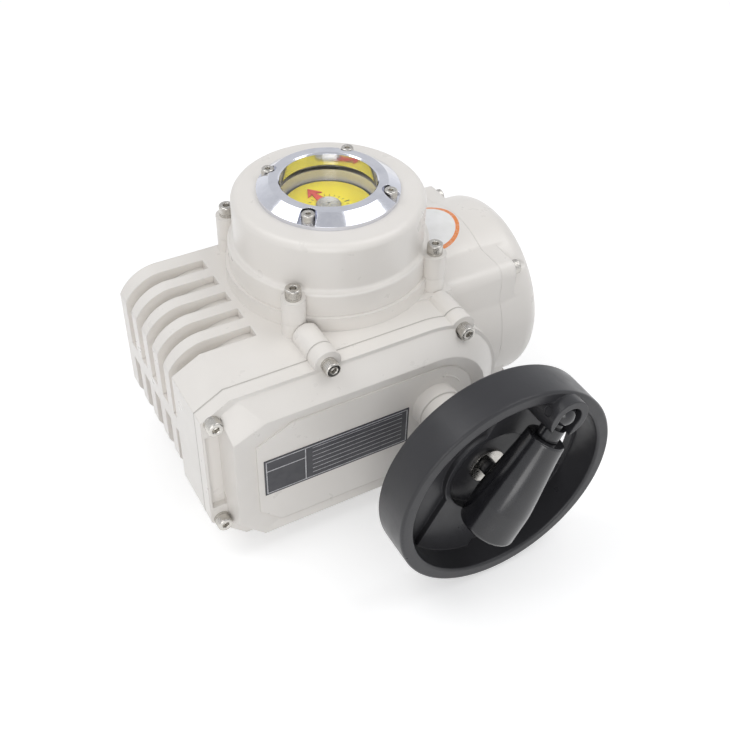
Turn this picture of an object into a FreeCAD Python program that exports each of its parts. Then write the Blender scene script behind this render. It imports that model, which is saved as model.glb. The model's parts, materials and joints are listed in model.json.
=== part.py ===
import FreeCAD, Part
import math
import os

import Sketcher
from FreeCAD import Placement, Rotation, Vector

# Electric quarter-turn valve actuator with a manual handwheel.
# Millimetres. +Z is up, the origin is the output axis at the mounting face,
# -Y is the front, where the gear cover and the handwheel are.

# Driving dimensions, in millimetres and degrees. Each one is a cell of the sheet Sizes.
DRIVING = {
    # mounting foot and output bore
    "foot_radius": 47, "foot_height": 22,
    "flange_small_circle": 25, "flange_small_hole": 3, "flange_small_depth": 11,
    "flange_large_circle": 35, "flange_large_hole": 4, "flange_large_depth": 15,
    "square_socket": 17, "socket_depth": 26,
    "journal_radius": 14.5, "bush_wall": 3, "bush_flange_height": 3,
    "seal_radius": 20.5, "seal_height": 6.5, "seal_recess": 1.5,
    # main block
    "block_left": 60.6, "block_right": 50, "block_back": 47, "block_front": 50,
    "block_bottom": 20, "block_top": 111,
    "chamber_radius": 44, "chamber_floor": 26, "plate_seat": 84, "plate_bore": 46.5,
    # collar and dome
    "collar_radius": 57, "collar_low": 52, "collar_top": 119.5,
    "dome_flange_radius": 55, "dome_flange_height": 13.7, "dome_radius": 52, "dome_height": 41.4,
    "dome_shoulder": 4.4, "dome_wall": 5, "dome_roof": 13.4, "dome_screw_circle": 59.3, "dome_lug_radius": 6.4,
    "dome_root": 2, "dome_seal_radius": 51, "dome_seal_width": 2.8, "dome_seal_depth": 2.1,
    # window
    "window_radius": 25.8, "bezel_radius": 38.2, "bezel_height": 6.8, "bezel_flat_radius": 31.5,
    "bezel_edge": 2.2, "bezel_spigot": 0.7, "bezel_screw_circle": 33.8, "bezel_notch_width": 9.4,
    "bezel_notch_floor": 1.8, "glass_radius": 30.6, "glass_thickness": 4, "glass_ring_height": 1.6,
    "glass_ring_width": 2.4, "dome_bore": 26.8,
    # gear case and its cover
    "case_left": 108.2, "case_mid": 65.5, "case_half": 45.5, "case_low": 10, "case_low_corner": 19,
    "case_back": 36, "case_front": 65.0,
    "case_corner_run": 16, "case_corner_drop": 9, "case_wall": 7, "case_wall_left": 12.5, "case_floor": 56,
    "gasket_thickness": 0.8, "cover_ledge": 8.4, "cover_crest": 18, "cover_recess": 1.5, "panel_rise": 1,
    "crest_left": 96, "crest_top": 31.8, "crest_corner_run": 18.2, "crest_corner_drop": 8, "crest_low": 15.4,
    "crest_low_corner": 14,
    "foot_line_left": 98.6, "foot_line_top": 43.4, "foot_line_run": 10.6, "foot_line_drop": 6.4,
    "foot_line_low": 12, "foot_line_low_corner": 15,
    "panel_left": 83.5, "panel_top": 24.3, "panel_corner_run": 20.5, "panel_corner_drop": 9.2, "panel_low": 20.5,
    "panel_low_corner": 12,
    "cover_wall": 4, "cover_boss_radius": 13.5, "cover_boss_step": 7.7, "cover_nose_radius": 12.5,
    "cover_nose_end": 101, "case_lug_radius": 7.4,
    "shaft_x": 21.5, "wheel_side_screw_x": 102.6, "wheel_side_screw_rise": 35.4,
    "lug_screw_x": 38.9, "lug_screw_rise": 47.2, "end_screw_x": 41.6, "end_screw_rise": 39.2,
    "strip_width": 8, "strip_depth": 3.2, "strip_reach": 26,
    # motor barrel and cooling fins
    "barrel_x": 65, "barrel_rise": 1, "barrel_radius": 40, "fin_end": 107,
    "fin_pitch": 16.16, "fin_gap": 8.4, "fin_first_gap": 31.6, "fin_gap_count": 5, "fin_corner_run": 21,
    "fin_corner_drop": 14, "fin_corner_round": 25, "fin_band_low": 58, "fin_band_high": 68.6,
    # terminal drum and its cover
    "drum_y": 6, "drum_z": 57, "drum_radius": 56.5, "drum_wall": 6.5, "drum_start": 46, "drum_face": 88.8,
    "drum_floor": 56, "drum_screw_reach": 41.93, "drum_lug_radius": 7.5, "drum_cover_flange": 10,
    "drum_cover_depth": 29.9, "drum_cover_round": 12.5, "drum_seal_radius": 53.2, "drum_seal_width": 2.2,
    "drum_seal_depth": 2, "cable_passage": 11, "gland_x": 70, "gland_pitch": 26, "gland_z": 31, "gland_face": 63,
    "gland_thread": 8, "gland_hex": 11, "gland_hex_height": 5, "cable_bore": 4.5,
    # motor and spur train
    "motor_x": 76, "motor_radius": 21, "motor_bore": 22, "motor_length": 82, "motor_face": 47,
    "motor_end_room": 12, "motor_neck": 12, "motor_shaft_radius": 4, "motor_cap_thickness": 4,
    "motor_cap_radius": 28.8,
    "gear_width": 8, "gear_front": 70, "gear_hub_radius": 12, "gear_lightening": 1.5,
    # worm drive
    "worm_x": 38, "worm_core": 8.4, "worm_tip": 12.8, "worm_half": 26, "worm_lead": 6.2832, "worm_turns": 6,
    "worm_bore": 14, "worm_tunnel": 14.5, "worm_journal": 6, "bearing_width": 8, "bearing_front": 55.5,
    "bearing_back": 36, "wheel_face": 8,
    # output stack
    "sleeve_shoulder": 19.5, "sleeve_shoulder_low": 29.3, "sleeve_shoulder_high": 34, "sleeve_neck_start": 76,
    "sleeve_neck": 12.5, "sleeve_top": 97, "stop_low": 40, "stop_height": 9, "stop_radius": 34,
    "stop_screw_x": 27, "stop_screw_radius": 4, "stop_screw_out": 14,
    "plate_thickness": 6, "plate_bush_radius": 17, "plate_screw_circle": 39.5,
    "indicator_radius": 5, "indicator_depth": 12,
    "cam_radius": 13, "cam_lobe": 3, "cam_height": 4, "cam_low": 99.5, "cam_pitch": 6.5,
    "dial_radius": 24.5, "dial_thickness": 0.8, "dial_level": 147.7, "dial_hole": 6, "post_radius": 2.5,
    "post_circle": 20.5, "pointer_thickness": 0.6, "pointer_length": 19, "pointer_angle": 100,
    # handwheel
    "rim_radius": 62.4, "rim_inner": 55.1, "rim_front": 153.8, "rim_width": 23.1, "rim_edge": 1.6,
    "web_thickness": 4.5, "window_inner": 30, "window_outer": 53.6, "window_end": 85,
    "spoke_half": 19, "spoke_front": 139, "spoke_back": 131.4, "hub_recess_radius": 25, "hub_recess_floor": 133.5,
    "hub_radius": 15, "hub_back": 104.2, "shaft_radius": 7, "handle_angle": 60, "handle_inset": 11.9,
    "handle_boss_radius": 11, "handle_boss_front": 160.2, "handle_bore": 7, "handle_bore_floor": 148,
    "handle_pin_y": 154.6, "handle_pin_radius": 2.5, "handle_ball": 6.4, "handle_slot": 13.2,
    "hub_washer_radius": 10, "spindle_radius": 4, "collar_start": 7.5, "collar_end": 14.6, "collar_size": 6,
    "grip_start": 15, "grip_end": 75, "grip_narrow": 10.5, "grip_wide": 15.2, "grip_round": 2.5,
    # fasteners
    "cap_radius": 2.5, "cap_head_radius": 4.25, "cap_head_height": 5, "cap_socket": 2, "cap_length": 20,
    "small_radius": 2, "small_head_radius": 3.5, "small_head_height": 4, "small_socket": 1.5,
    "small_length": 10.5, "washer_thickness": 1.3, "small_washer_thickness": 1, 
    # clearances
    "screw_clearance": 0.05, "running_clearance": 0.04, "face_clearance": 0.3, "seat_clearance": 0.2,
    # labels
    "label_left": 80.1, "label_right": 5.6, "label_low": 43.7, "label_high": 69.2, "label_thickness": 0.4,
    "disc_label_x": 64.4, "disc_label_y": 8.5, "disc_label_radius": 23.5, "disc_label_thickness": 0.25,
}
WORM_WHEEL_TEETH = 27
WORM_WHEEL_MODULE = 2.0
SPUR_MODULE = 1.0
WORM_GEAR_TEETH = 56
HANDWHEEL_GEAR_TEETH = 63
MOTOR_PINION_TEETH = 20
PRESSURE_ANGLE = math.radians(20)
SPUR_BACKLASH = 0.30
WORM_BACKLASH = 1.0
DIAGONAL = math.sqrt(0.5)

doc = FreeCAD.newDocument("valve_actuator")
sheet = doc.addObject("Spreadsheet::Sheet", "Sizes")
for row, (alias, number) in enumerate(DRIVING.items(), start=1):
    sheet.set("A%d" % row, alias)
    sheet.set("B%d" % row, str(number))
    sheet.setAlias("B%d" % row, alias)
doc.recompute()


class Size:
    """A number of the sheet, or a sum of such numbers, with the expression that it comes from."""

    def __init__(self, value, text):
        self.value = value
        self.text = text

    def __add__(self, other):
        other = size(other)
        return Size(self.value + other.value, "(%s + %s)" % (self.text, other.text))

    def __sub__(self, other):
        other = size(other)
        return Size(self.value - other.value, "(%s - %s)" % (self.text, other.text))

    def __mul__(self, factor):
        factor = size(factor)
        return Size(self.value * factor.value, "(%s * %s)" % (self.text, factor.text))

    def __truediv__(self, factor):
        return Size(self.value / factor, "(%s / %.12g)" % (self.text, factor))

    def __neg__(self):
        return Size(-self.value, "(0 - %s)" % self.text)

    def __radd__(self, other):
        return size(other) + self

    def __rsub__(self, other):
        return size(other) - self

    __rmul__ = __mul__


def size(number):
    """A plain number as a Size, or a Size as it is."""
    return number if isinstance(number, Size) else Size(float(number), "%.12g" % number)


class Cells:
    """The sheet's cells as sizes, so that S.foot_radius reads and binds that cell."""

    def __getattr__(self, alias):
        return Size(float(sheet.get(alias)), "Sizes." + alias)


S = Cells()
SUBPARTS = []


def bind(thing, name, amount):
    """Give a property a size's number and bind it to the sheet."""
    thing.setExpression(name, size(amount).text)


def place(thing, x=0, y=0, z=0, axis=None, angle=0):
    """Put an object at x, y, z, turned about an axis through that point."""
    turn = Rotation(Vector(*axis), size(angle).value) if axis else Rotation()
    thing.Placement = Placement(Vector(size(x).value, size(y).value, size(z).value), turn)
    for letter, amount in zip("xyz", (x, y, z)):
        if isinstance(amount, Size):
            bind(thing, "Placement.Base." + letter, amount)
    if isinstance(angle, Size):
        bind(thing, "Placement.Rotation.Angle", angle)


def subpart(thing, label):
    """Name a finished piece, which gives its file the same name."""
    thing.Label = label
    SUBPARTS.append(thing)
    return thing


def new_body(name):
    return doc.addObject("PartDesign::Body", name)


def sketch_on(body, name, role, offset):
    """An empty sketch on one of the body's own origin planes, moved out along the plane's normal."""
    sketch = body.newObject("Sketcher::SketchObject", name)
    plane = next(f for f in body.Origin.OriginFeatures if f.Role == role)
    sketch.AttachmentSupport = (plane, [""])
    sketch.MapMode = "FlatFace"
    sketch.AttachmentOffset = Placement(Vector(0, 0, size(offset).value), Rotation())
    if isinstance(offset, Size):
        bind(sketch, "AttachmentOffset.Base.z", offset)
    return sketch


def fix(sketch, kind, *places_and_amount):
    """Add a dimension to a sketch and bind it where it is a size."""
    *places, amount = places_and_amount
    index = sketch.addConstraint(Sketcher.Constraint(kind, *places, size(amount).value))
    if isinstance(amount, Size):
        bind(sketch, "Constraints[%d]" % index, amount)


def arc_between(start, end, radius):
    """The shorter arc from start to end; a positive radius turns left, a negative one right."""
    chord = end - start
    left = Vector(-chord.y, chord.x, 0).normalize()
    reach = math.sqrt(max(radius * radius - chord.Length ** 2 / 4, 0))
    centre = (start + end) * 0.5 + left * math.copysign(reach, radius)
    first, last = (start, end) if radius > 0 else (end, start)
    low, high = (math.atan2(p.y - centre.y, p.x - centre.x) for p in (first, last))
    return Part.ArcOfCircle(Part.Circle(centre, Vector(0, 0, 1), abs(radius)), low, high)


def outline(body, name, role, corners, offset=0):
    """A closed sketch. A corner is (x, y), or (x, y, radius) where an arc leads on to the next corner."""
    sketch = sketch_on(body, name, role, offset)
    points = [Vector(size(c[0]).value, size(c[1]).value, 0) for c in corners]
    count = len(corners)
    ends = []
    for index, corner in enumerate(corners):
        start, end = points[index], points[(index + 1) % count]
        if len(corner) == 3:
            radius = size(corner[2]).value
            sketch.addGeometry(arc_between(start, end, radius), False)
            ends.append((1, 2) if radius > 0 else (2, 1))
        else:
            sketch.addGeometry(Part.LineSegment(start, end), False)
            ends.append((1, 2))
    for index in range(count):
        following = (index + 1) % count
        join = (index, ends[index][1], following, ends[following][0])
        sketch.addConstraint(Sketcher.Constraint("Coincident", *join))
    for index, corner in enumerate(corners):
        fix(sketch, "DistanceX", -1, 1, index, ends[index][0], corner[0])
        fix(sketch, "DistanceY", -1, 1, index, ends[index][0], corner[1])
        if len(corner) == 3:
            radius = corner[2]
            fix(sketch, "Radius", index, radius if size(radius).value > 0 else -radius)
    return sketch


def ring(body, name, role, x, y, radii, offset=0):
    """A sketch of circles about one centre."""
    sketch = sketch_on(body, name, role, offset)
    for index, radius in enumerate(radii):
        centre = Vector(size(x).value, size(y).value, 0)
        sketch.addGeometry(Part.Circle(centre, Vector(0, 0, 1), size(radius).value), False)
        fix(sketch, "DistanceX", -1, 1, index, 3, x)
        fix(sketch, "DistanceY", -1, 1, index, 3, y)
        fix(sketch, "Radius", index, radius)
    return sketch


def add(body, sketch, length, back=False):
    """Pad a sketch along its normal, or against it with back."""
    pad = body.newObject("PartDesign::Pad", sketch.Name + "_pad")
    pad.Profile = sketch
    pad.Length = size(length).value
    pad.Reversed = back
    if isinstance(length, Size):
        bind(pad, "Length", length)
    sketch.Visibility = False
    return pad


def cut(body, sketch, length, along=False):
    """Pocket a sketch against its normal, or along it."""
    pocket = body.newObject("PartDesign::Pocket", sketch.Name + "_cut")
    pocket.Profile = sketch
    pocket.Length = size(length).value
    pocket.Reversed = along
    if isinstance(length, Size):
        bind(pocket, "Length", length)
    sketch.Visibility = False
    return pocket


def turn(body, sketch, axis="V_Axis", groove=False):
    """Revolve a sketch a full turn about its own vertical or horizontal axis."""
    kind = "PartDesign::Groove" if groove else "PartDesign::Revolution"
    solid = body.newObject(kind, sketch.Name + "_turned")
    solid.Profile = sketch
    solid.ReferenceAxis = (sketch, [axis])
    solid.Angle = 360
    sketch.Visibility = False
    return solid


def turned(name, corners, role="XZ_Plane", axis="V_Axis"):
    """A body turned from one closed outline: (radius, height) pairs about the upright axis."""
    body = new_body(name)
    turn(body, outline(body, name + "_profile", role, corners), axis)
    return body


def tube(name, inner, outer, low, high):
    """A plain ring about Z."""
    return turned(name, [(inner, low), (outer, low), (outer, high), (inner, high)])


def edges_where(shape, wanted):
    """Names of the edges that pass a test."""
    return ["Edge%d" % (i + 1) for i, edge in enumerate(shape.Edges) if wanted(edge)]


def round_edges(body, wanted, radius, name, kind="PartDesign::Fillet"):
    """Fillet or chamfer the edges of the body so far that pass a test."""
    doc.recompute()
    base = body.Tip
    names = edges_where(base.Shape, wanted)
    dressing = body.newObject(kind, name)
    dressing.Base = (base, names)
    amount = "Radius" if kind.endswith("Fillet") else "Size"
    setattr(dressing, amount, size(radius).value)
    if isinstance(radius, Size):
        bind(dressing, amount, radius)
    body.Tip = dressing
    return dressing


def copies(label, base, spots):
    """One node of equal pieces: links to one piece, each with its own place."""
    links = []
    for number, spot in enumerate(spots):
        link = doc.addObject("App::Link", "%s_%d" % (label, number))
        link.LinkedObject = base
        place(link, *spot)
        links.append(link)
    group = doc.addObject("Part::Compound", label + "_group")
    group.Links = links
    return subpart(group, label)


def gear_outline(teeth, module, backlash, phase, segments=5):
    """The closed outline of an involute spur gear with a tooth centred on the angle phase, in radians."""
    pitch = teeth * module / 2
    base = pitch * math.cos(PRESSURE_ANGLE)
    tip = pitch + module * 0.95
    root = pitch - module * 1.2
    involute = math.tan(PRESSURE_ANGLE) - PRESSURE_ANGLE
    half_tooth = (math.pi * module / 2 - backlash / 2) / (2 * pitch)
    start = max(base, root + 0.02 * module)

    def half_angle(radius):
        roll = math.acos(min(base / radius, 1.0))
        return half_tooth + involute - (math.tan(roll) - roll)

    radii = [start + (tip - start) * k / segments for k in range(segments + 1)]
    edges = []
    for tooth in range(teeth):
        middle = phase + tooth * 2 * math.pi / teeth
        rising = [polar(r, middle - half_angle(r)) for r in radii]
        falling = [polar(r, middle + half_angle(r)) for r in reversed(radii)]
        foot_low = polar(root, middle - half_angle(start))
        foot_high = polar(root, middle + half_angle(start))
        following = middle + 2 * math.pi / teeth
        next_low = polar(root, following - half_angle(start))
        valley = polar(root, (middle + following) / 2)
        edges.append(Part.makeLine(foot_low, rising[0]))
        edges.append(smooth_edge(rising))
        edges.append(Part.Arc(rising[-1], polar(tip, middle), falling[0]).toShape())
        edges.append(smooth_edge(falling))
        edges.append(Part.makeLine(falling[-1], foot_high))
        edges.append(Part.Arc(foot_high, valley, next_low).toShape())
    return Part.Wire(edges)


def polar(radius, angle):
    return Vector(radius * math.cos(angle), radius * math.sin(angle), 0)


def smooth_edge(points):
    curve = Part.BSplineCurve()
    curve.interpolate(points)
    return curve.toShape()


def toothed(name, teeth, module, backlash, phase, width):
    """A toothed blank from z = 0 to its width, as a base for a gear."""
    blank = doc.addObject("Part::Feature", name)
    face = Part.Face(gear_outline(teeth, module, backlash, phase))
    blank.Shape = face.extrude(Vector(0, 0, size(width).value))
    return blank


def cylinder(name, radius, height, x=0, y=0, z=0, axis=None, angle=0):
    """A Part cylinder from its foot centre along Z, or along the turned Z."""
    solid = doc.addObject("Part::Cylinder", name)
    bind(solid, "Radius", radius)
    bind(solid, "Height", height)
    place(solid, x, y, z, axis, angle)
    return solid


def box(name, length, width, height, x, y, z):
    """A Part box from its lowest corner."""
    solid = doc.addObject("Part::Box", name)
    bind(solid, "Length", length)
    bind(solid, "Width", width)
    bind(solid, "Height", height)
    place(solid, x, y, z)
    return solid


def fused(name, solids):
    joined = doc.addObject("Part::MultiFuse", name)
    joined.Shapes = solids
    return joined


def less(name, base, tool):
    difference = doc.addObject("Part::Cut", name)
    difference.Base = base
    difference.Tool = tool
    return difference


FRONTWARD = ((1, 0, 0), 90)
QUARTERS = [(1, 1), (-1, 1), (-1, -1), (1, -1)]


def dots(body, name, role, spots, radius, offset=0):
    """A sketch of equal circles at several places."""
    sketch = sketch_on(body, name, role, offset)
    for index, (x, y) in enumerate(spots):
        centre = Vector(size(x).value, size(y).value, 0)
        sketch.addGeometry(Part.Circle(centre, Vector(0, 0, 1), size(radius).value), False)
        fix(sketch, "DistanceX", -1, 1, index, 3, x)
        fix(sketch, "DistanceY", -1, 1, index, 3, y)
        fix(sketch, "Radius", index, radius)
    return sketch


def rectangle(body, name, role, x0, y0, x1, y1, offset=0):
    return outline(body, name, role, [(x0, y0), (x1, y0), (x1, y1), (x0, y1)], offset)


def diagonal_spots(radius, x=0, y=0):
    """Four places on a circle, on its diagonals."""
    reach = radius * DIAGONAL
    return [(x + reach * i, y + reach * j) for i, j in QUARTERS]


def square_with_round_corners(body, name, x, y, reach, corner, offset):
    """A square about x, y on the YZ plane, its corners struck about points that lie reach away each way."""
    far = reach + corner
    corners = [
        (x - reach, y - far), (x + reach, y - far, corner), (x + far, y - reach), (x + far, y + reach, corner),
        (x + reach, y + far), (x - reach, y + far, corner), (x - far, y + reach), (x - far, y - reach, corner),
    ]
    return outline(body, name, "YZ_Plane", corners, offset)


def case_outline(body, name, inset, inset_left, offset):
    """The gear case in front view: two cut corners at the left and a half-round end about the handwheel shaft."""
    left = -(S.case_left - inset_left)
    high, low = S.case_mid + S.case_half - inset, S.case_low + inset
    radius, corner = S.case_half - inset, S.case_low_corner
    corners = [
        (left, low + corner), (left, high - S.case_corner_drop), (left + S.case_corner_run, high),
        (S.shaft_x, high, -radius), (S.shaft_x + radius, S.case_mid, -(radius + 5)), (S.shaft_x, low),
        (left + corner, low),
    ]
    return outline(body, name, "XZ_Plane", corners, offset)


COVER_BACK = S.case_front + S.gasket_thickness
COVER_SEAT = COVER_BACK + S.cover_ledge
COVER_CREST = COVER_BACK + S.cover_crest
COVER_PANEL = COVER_CREST - S.cover_recess
WORM_Z = S.case_mid
BARREL_Z = S.case_mid + S.barrel_rise
BARREL_BACK = S.motor_length + S.motor_end_room - S.motor_face
HANDLE_CIRCLE = S.rim_radius - S.handle_inset
DOME_SHELF = S.collar_top + S.dome_flange_height
DOME_TOP = S.collar_top + S.dome_height
BEZEL_TOP = DOME_TOP + S.bezel_height
GLASS_TOP = DOME_TOP - S.bezel_spigot - S.glass_ring_height
GLASS_LOW = GLASS_TOP - S.glass_thickness
GLASS_SEAT = GLASS_LOW
STOP_Z = S.stop_low + S.stop_height / 2
BUSH_TOP = S.chamber_floor + S.bush_flange_height
CASE_SCREWS = [
    (-S.wheel_side_screw_x, S.case_mid + S.wheel_side_screw_rise),
    (-S.wheel_side_screw_x, S.case_mid - S.wheel_side_screw_rise),
    (-S.lug_screw_x, S.case_mid + S.lug_screw_rise),
    (S.end_screw_x, S.case_mid + S.end_screw_rise), (S.end_screw_x, S.case_mid - S.end_screw_rise),
]
DRUM_SCREWS = [(S.drum_y + S.drum_screw_reach * i, S.drum_z + S.drum_screw_reach * j) for i, j in QUARTERS]
GLANDS = [(S.gland_x, S.gland_z), (S.gland_x, S.gland_z + S.gland_pitch)]


def gear_cover_crest(body, name, inset, offset):
    """The raised outline of the gear cover's pillow."""
    left, right = -(S.crest_left - inset), S.shaft_x + S.crest_top - inset
    high, low = S.case_mid + S.crest_top - inset, S.crest_low + inset
    corners = [
        (left, low + S.crest_low_corner), (left, high - S.crest_corner_drop),
        (left + S.crest_corner_run, high), (S.shaft_x, high, -(S.crest_top - inset)),
        (right, S.case_mid, -(S.case_mid - S.crest_low + 4)), (S.shaft_x, low), (left + S.crest_low_corner, low),
    ]
    return outline(body, name, "XZ_Plane", corners, offset)


def make_housing():
    """The main casting: foot, block, gear case, finned motor barrel, collar and terminal drum, then its hollows."""
    body = new_body("housing_casting")
    block = rectangle(body, "block", "XY_Plane", -S.block_left, -S.block_front, S.block_right, S.block_back,
                      S.block_bottom)
    add(body, block, S.block_top - S.block_bottom)
    add(body, ring(body, "foot", "XY_Plane", 0, 0, [S.foot_radius]), S.foot_height + 4)
    add(body, case_outline(body, "gear_case", 0, 0, S.case_back), S.case_front - S.case_back)

    inside = S.block_left - 6
    fins = outline(body, "fins", "XZ_Plane", [
        (-inside, S.block_bottom), (-inside, S.block_top),
        (-(S.fin_end - S.fin_corner_run), S.block_top, S.fin_corner_round),
        (-S.fin_end, S.block_top - S.fin_corner_drop),
        (-S.fin_end, S.block_bottom + S.fin_corner_drop, S.fin_corner_round),
        (-(S.fin_end - S.fin_corner_run), S.block_bottom)], -BARREL_BACK)
    add(body, fins, BARREL_BACK + S.case_back)
    gap_front = S.fin_first_gap + S.fin_gap / 2
    upper = rectangle(body, "gap_above", "XZ_Plane", -(S.fin_end + 5), S.fin_band_high, -S.block_left,
                      S.block_top + 5, gap_front)
    upper_cut = cut(body, upper, S.fin_gap)
    lower = rectangle(body, "gap_below", "XZ_Plane", -(S.fin_end + 5), S.block_bottom - 5, -S.block_left,
                      S.fin_band_low, gap_front)
    lower_cut = cut(body, lower, S.fin_gap)
    pattern = body.newObject("PartDesign::LinearPattern", "gap_pattern")
    pattern.Originals = [upper_cut, lower_cut]
    pattern.Direction = (upper, ["N_Axis"])
    pattern.Reversed = True
    pattern.Mode = "Spacing"
    bind(pattern, "Offset", S.fin_pitch)
    pattern.Occurrences = int(S.fin_gap_count.value)
    body.Tip = pattern
    add(body, ring(body, "barrel", "XZ_Plane", -S.barrel_x, BARREL_Z, [S.barrel_radius], -BARREL_BACK),
        BARREL_BACK + S.case_back)

    add(body, ring(body, "collar", "XY_Plane", 0, 0, [S.collar_radius], S.collar_low),
        S.collar_top - S.collar_low)
    add(body, ring(body, "drum", "YZ_Plane", S.drum_y, S.drum_z, [S.drum_radius], S.drum_start),
        S.drum_face - S.drum_start)
    ridges = square_with_round_corners(body, "drum_ridges", S.drum_y, S.drum_z, S.drum_screw_reach,
                                       S.drum_lug_radius, S.drum_start)
    add(body, ridges, S.drum_face - S.drum_start)
    lugs = dots(body, "dome_lugs", "XY_Plane", diagonal_spots(S.dome_screw_circle), S.dome_lug_radius,
                S.block_top - 12)
    add(body, lugs, S.collar_top - S.block_top + 12)
    case_lugs = dots(body, "case_lugs", "XZ_Plane", CASE_SCREWS[2:], S.case_lug_radius, S.case_front - 16.2)
    add(body, case_lugs, 16.2)
    gland_bosses = dots(body, "gland_bosses", "XZ_Plane", GLANDS, S.gland_hex + 1.5, -S.gland_face)
    add(body, gland_bosses, 17)

    cut(body, ring(body, "chamber", "XY_Plane", 0, 0, [S.chamber_radius], S.collar_top),
        S.collar_top - S.chamber_floor)
    cut(body, ring(body, "plate_bore", "XY_Plane", 0, 0, [S.plate_bore], S.collar_top), S.collar_top - S.plate_seat)
    pads = dots(body, "plate_pads", "XY_Plane", diagonal_spots(S.plate_screw_circle), 6, S.plate_seat - 5)
    add(body, pads, 5)
    cut(body, case_outline(body, "gear_chamber", S.case_wall, S.case_wall_left, S.case_front),
        S.case_front - S.case_floor)
    cut(body, ring(body, "worm_bore", "XZ_Plane", -S.worm_x, WORM_Z, [S.worm_bore], S.case_floor), 12)
    cut(body, ring(body, "worm_tunnel", "XZ_Plane", -S.worm_x, WORM_Z, [S.worm_tunnel], S.case_floor - 12),
        S.case_floor - 12 + S.bearing_back)
    cut(body, ring(body, "worm_end_bore", "XZ_Plane", -S.worm_x, WORM_Z, [S.worm_bore], -S.bearing_back),
        S.bearing_width + 0.3)
    cut(body, ring(body, "motor_bore", "XZ_Plane", -S.motor_x, WORM_Z, [S.motor_bore], -BARREL_BACK),
        BARREL_BACK + S.motor_face, along=True)
    cut(body, ring(body, "motor_neck_bore", "XZ_Plane", -S.motor_x, WORM_Z, [S.motor_neck + 0.3], S.case_floor),
        S.case_floor - S.motor_face + 1)
    motor_holes = dots(body, "motor_holes", "XZ_Plane", MOTOR_SCREWS, S.small_radius + S.screw_clearance,
                       S.case_floor)
    cut(body, motor_holes, S.case_floor - S.motor_face + 1)
    cut(body, dots(body, "motor_cover_holes", "XZ_Plane", MOTOR_COVER_SCREWS, S.small_radius + S.screw_clearance,
                   -BARREL_BACK), 12, along=True)
    cut(body, ring(body, "bush_bore", "XZ_Plane", S.shaft_x, S.case_mid, [S.shaft_radius + 2], S.case_floor), 11.3)

    cut(body, ring(body, "drum_cavity", "YZ_Plane", S.drum_y, S.drum_z, [S.drum_radius - S.drum_wall],
                   S.drum_face), S.drum_face - S.drum_floor)
    half = S.drum_seal_width / 2
    cut(body, ring(body, "drum_groove", "YZ_Plane", S.drum_y, S.drum_z,
                   [S.drum_seal_radius - half, S.drum_seal_radius + half], S.drum_face), S.drum_seal_depth)
    cut(body, ring(body, "cable_passage", "YZ_Plane", 0, S.drum_z + 10, [S.cable_passage], S.drum_floor), 20)
    cut(body, dots(body, "drum_holes", "YZ_Plane", DRUM_SCREWS, S.cap_radius + S.screw_clearance, S.drum_face), 16)
    cut(body, dots(body, "gland_bores", "XZ_Plane", GLANDS, S.gland_thread, -S.gland_face), 20, along=True)

    cut(body, ring(body, "seal_pocket", "XY_Plane", 0, 0, [S.seal_radius]), S.seal_recess + S.seal_height,
        along=True)
    cut(body, ring(body, "output_bore", "XY_Plane", 0, 0, [S.journal_radius + S.bush_wall]), S.chamber_floor + 1,
        along=True)
    cut(body, dots(body, "small_flange", "XY_Plane", diagonal_spots(S.flange_small_circle), S.flange_small_hole),
        S.flange_small_depth, along=True)
    cut(body, dots(body, "large_flange", "XY_Plane", diagonal_spots(S.flange_large_circle), S.flange_large_hole),
        S.flange_large_depth, along=True)
    tapped = S.cap_radius + S.screw_clearance
    cut(body, dots(body, "case_holes", "XZ_Plane", CASE_SCREWS, tapped, S.case_front), 14)
    cut(body, dots(body, "dome_holes", "XY_Plane", diagonal_spots(S.dome_screw_circle), tapped, S.collar_top), 14)
    groove = [S.dome_seal_radius - S.dome_seal_width / 2, S.dome_seal_radius + S.dome_seal_width / 2]
    cut(body, ring(body, "dome_groove", "XY_Plane", 0, 0, groove, S.collar_top), S.dome_seal_depth)
    cut(body, dots(body, "plate_holes", "XY_Plane", diagonal_spots(S.plate_screw_circle),
                   S.small_radius + S.screw_clearance, S.plate_seat), 9)
    stops = [(-S.stop_screw_x, STOP_Z), (S.stop_screw_x, STOP_Z)]
    cut(body, dots(body, "stop_holes", "XZ_Plane", stops, S.stop_screw_radius + S.screw_clearance, -S.block_back),
        30, along=True)
    cut(body, dots(body, "earth_hole", "XZ_Plane", [EARTH], tapped, -S.block_back), 10, along=True)
    cut(body, dots(body, "board_holes", "YZ_Plane", BOARD_POSTS, 1.55, S.drum_floor), 6)
    return subpart(body, "main_housing")


def is_circle(edge, radius):
    """True for an edge of a circle of the given radius."""
    curve = edge.Curve
    return curve.TypeId == "Part::GeomCircle" and abs(curve.Radius - radius) < 1e-3


EARTH = (-(S.block_left - 10), S.block_bottom + 14)
MOTOR_SCREWS = [(-S.motor_x + 16 * math.cos(math.radians(a)), WORM_Z + 16 * math.sin(math.radians(a)))
                for a in (90, 210, 330)]
MOTOR_COVER_SCREWS = [(-S.motor_x + 25 * math.cos(math.radians(a)), WORM_Z + 25 * math.sin(math.radians(a)))
                      for a in (60, 180, 300)]
BOARD_POSTS = [(S.drum_y + 27 * i, S.drum_z + 24 * j) for i, j in QUARTERS]


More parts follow.
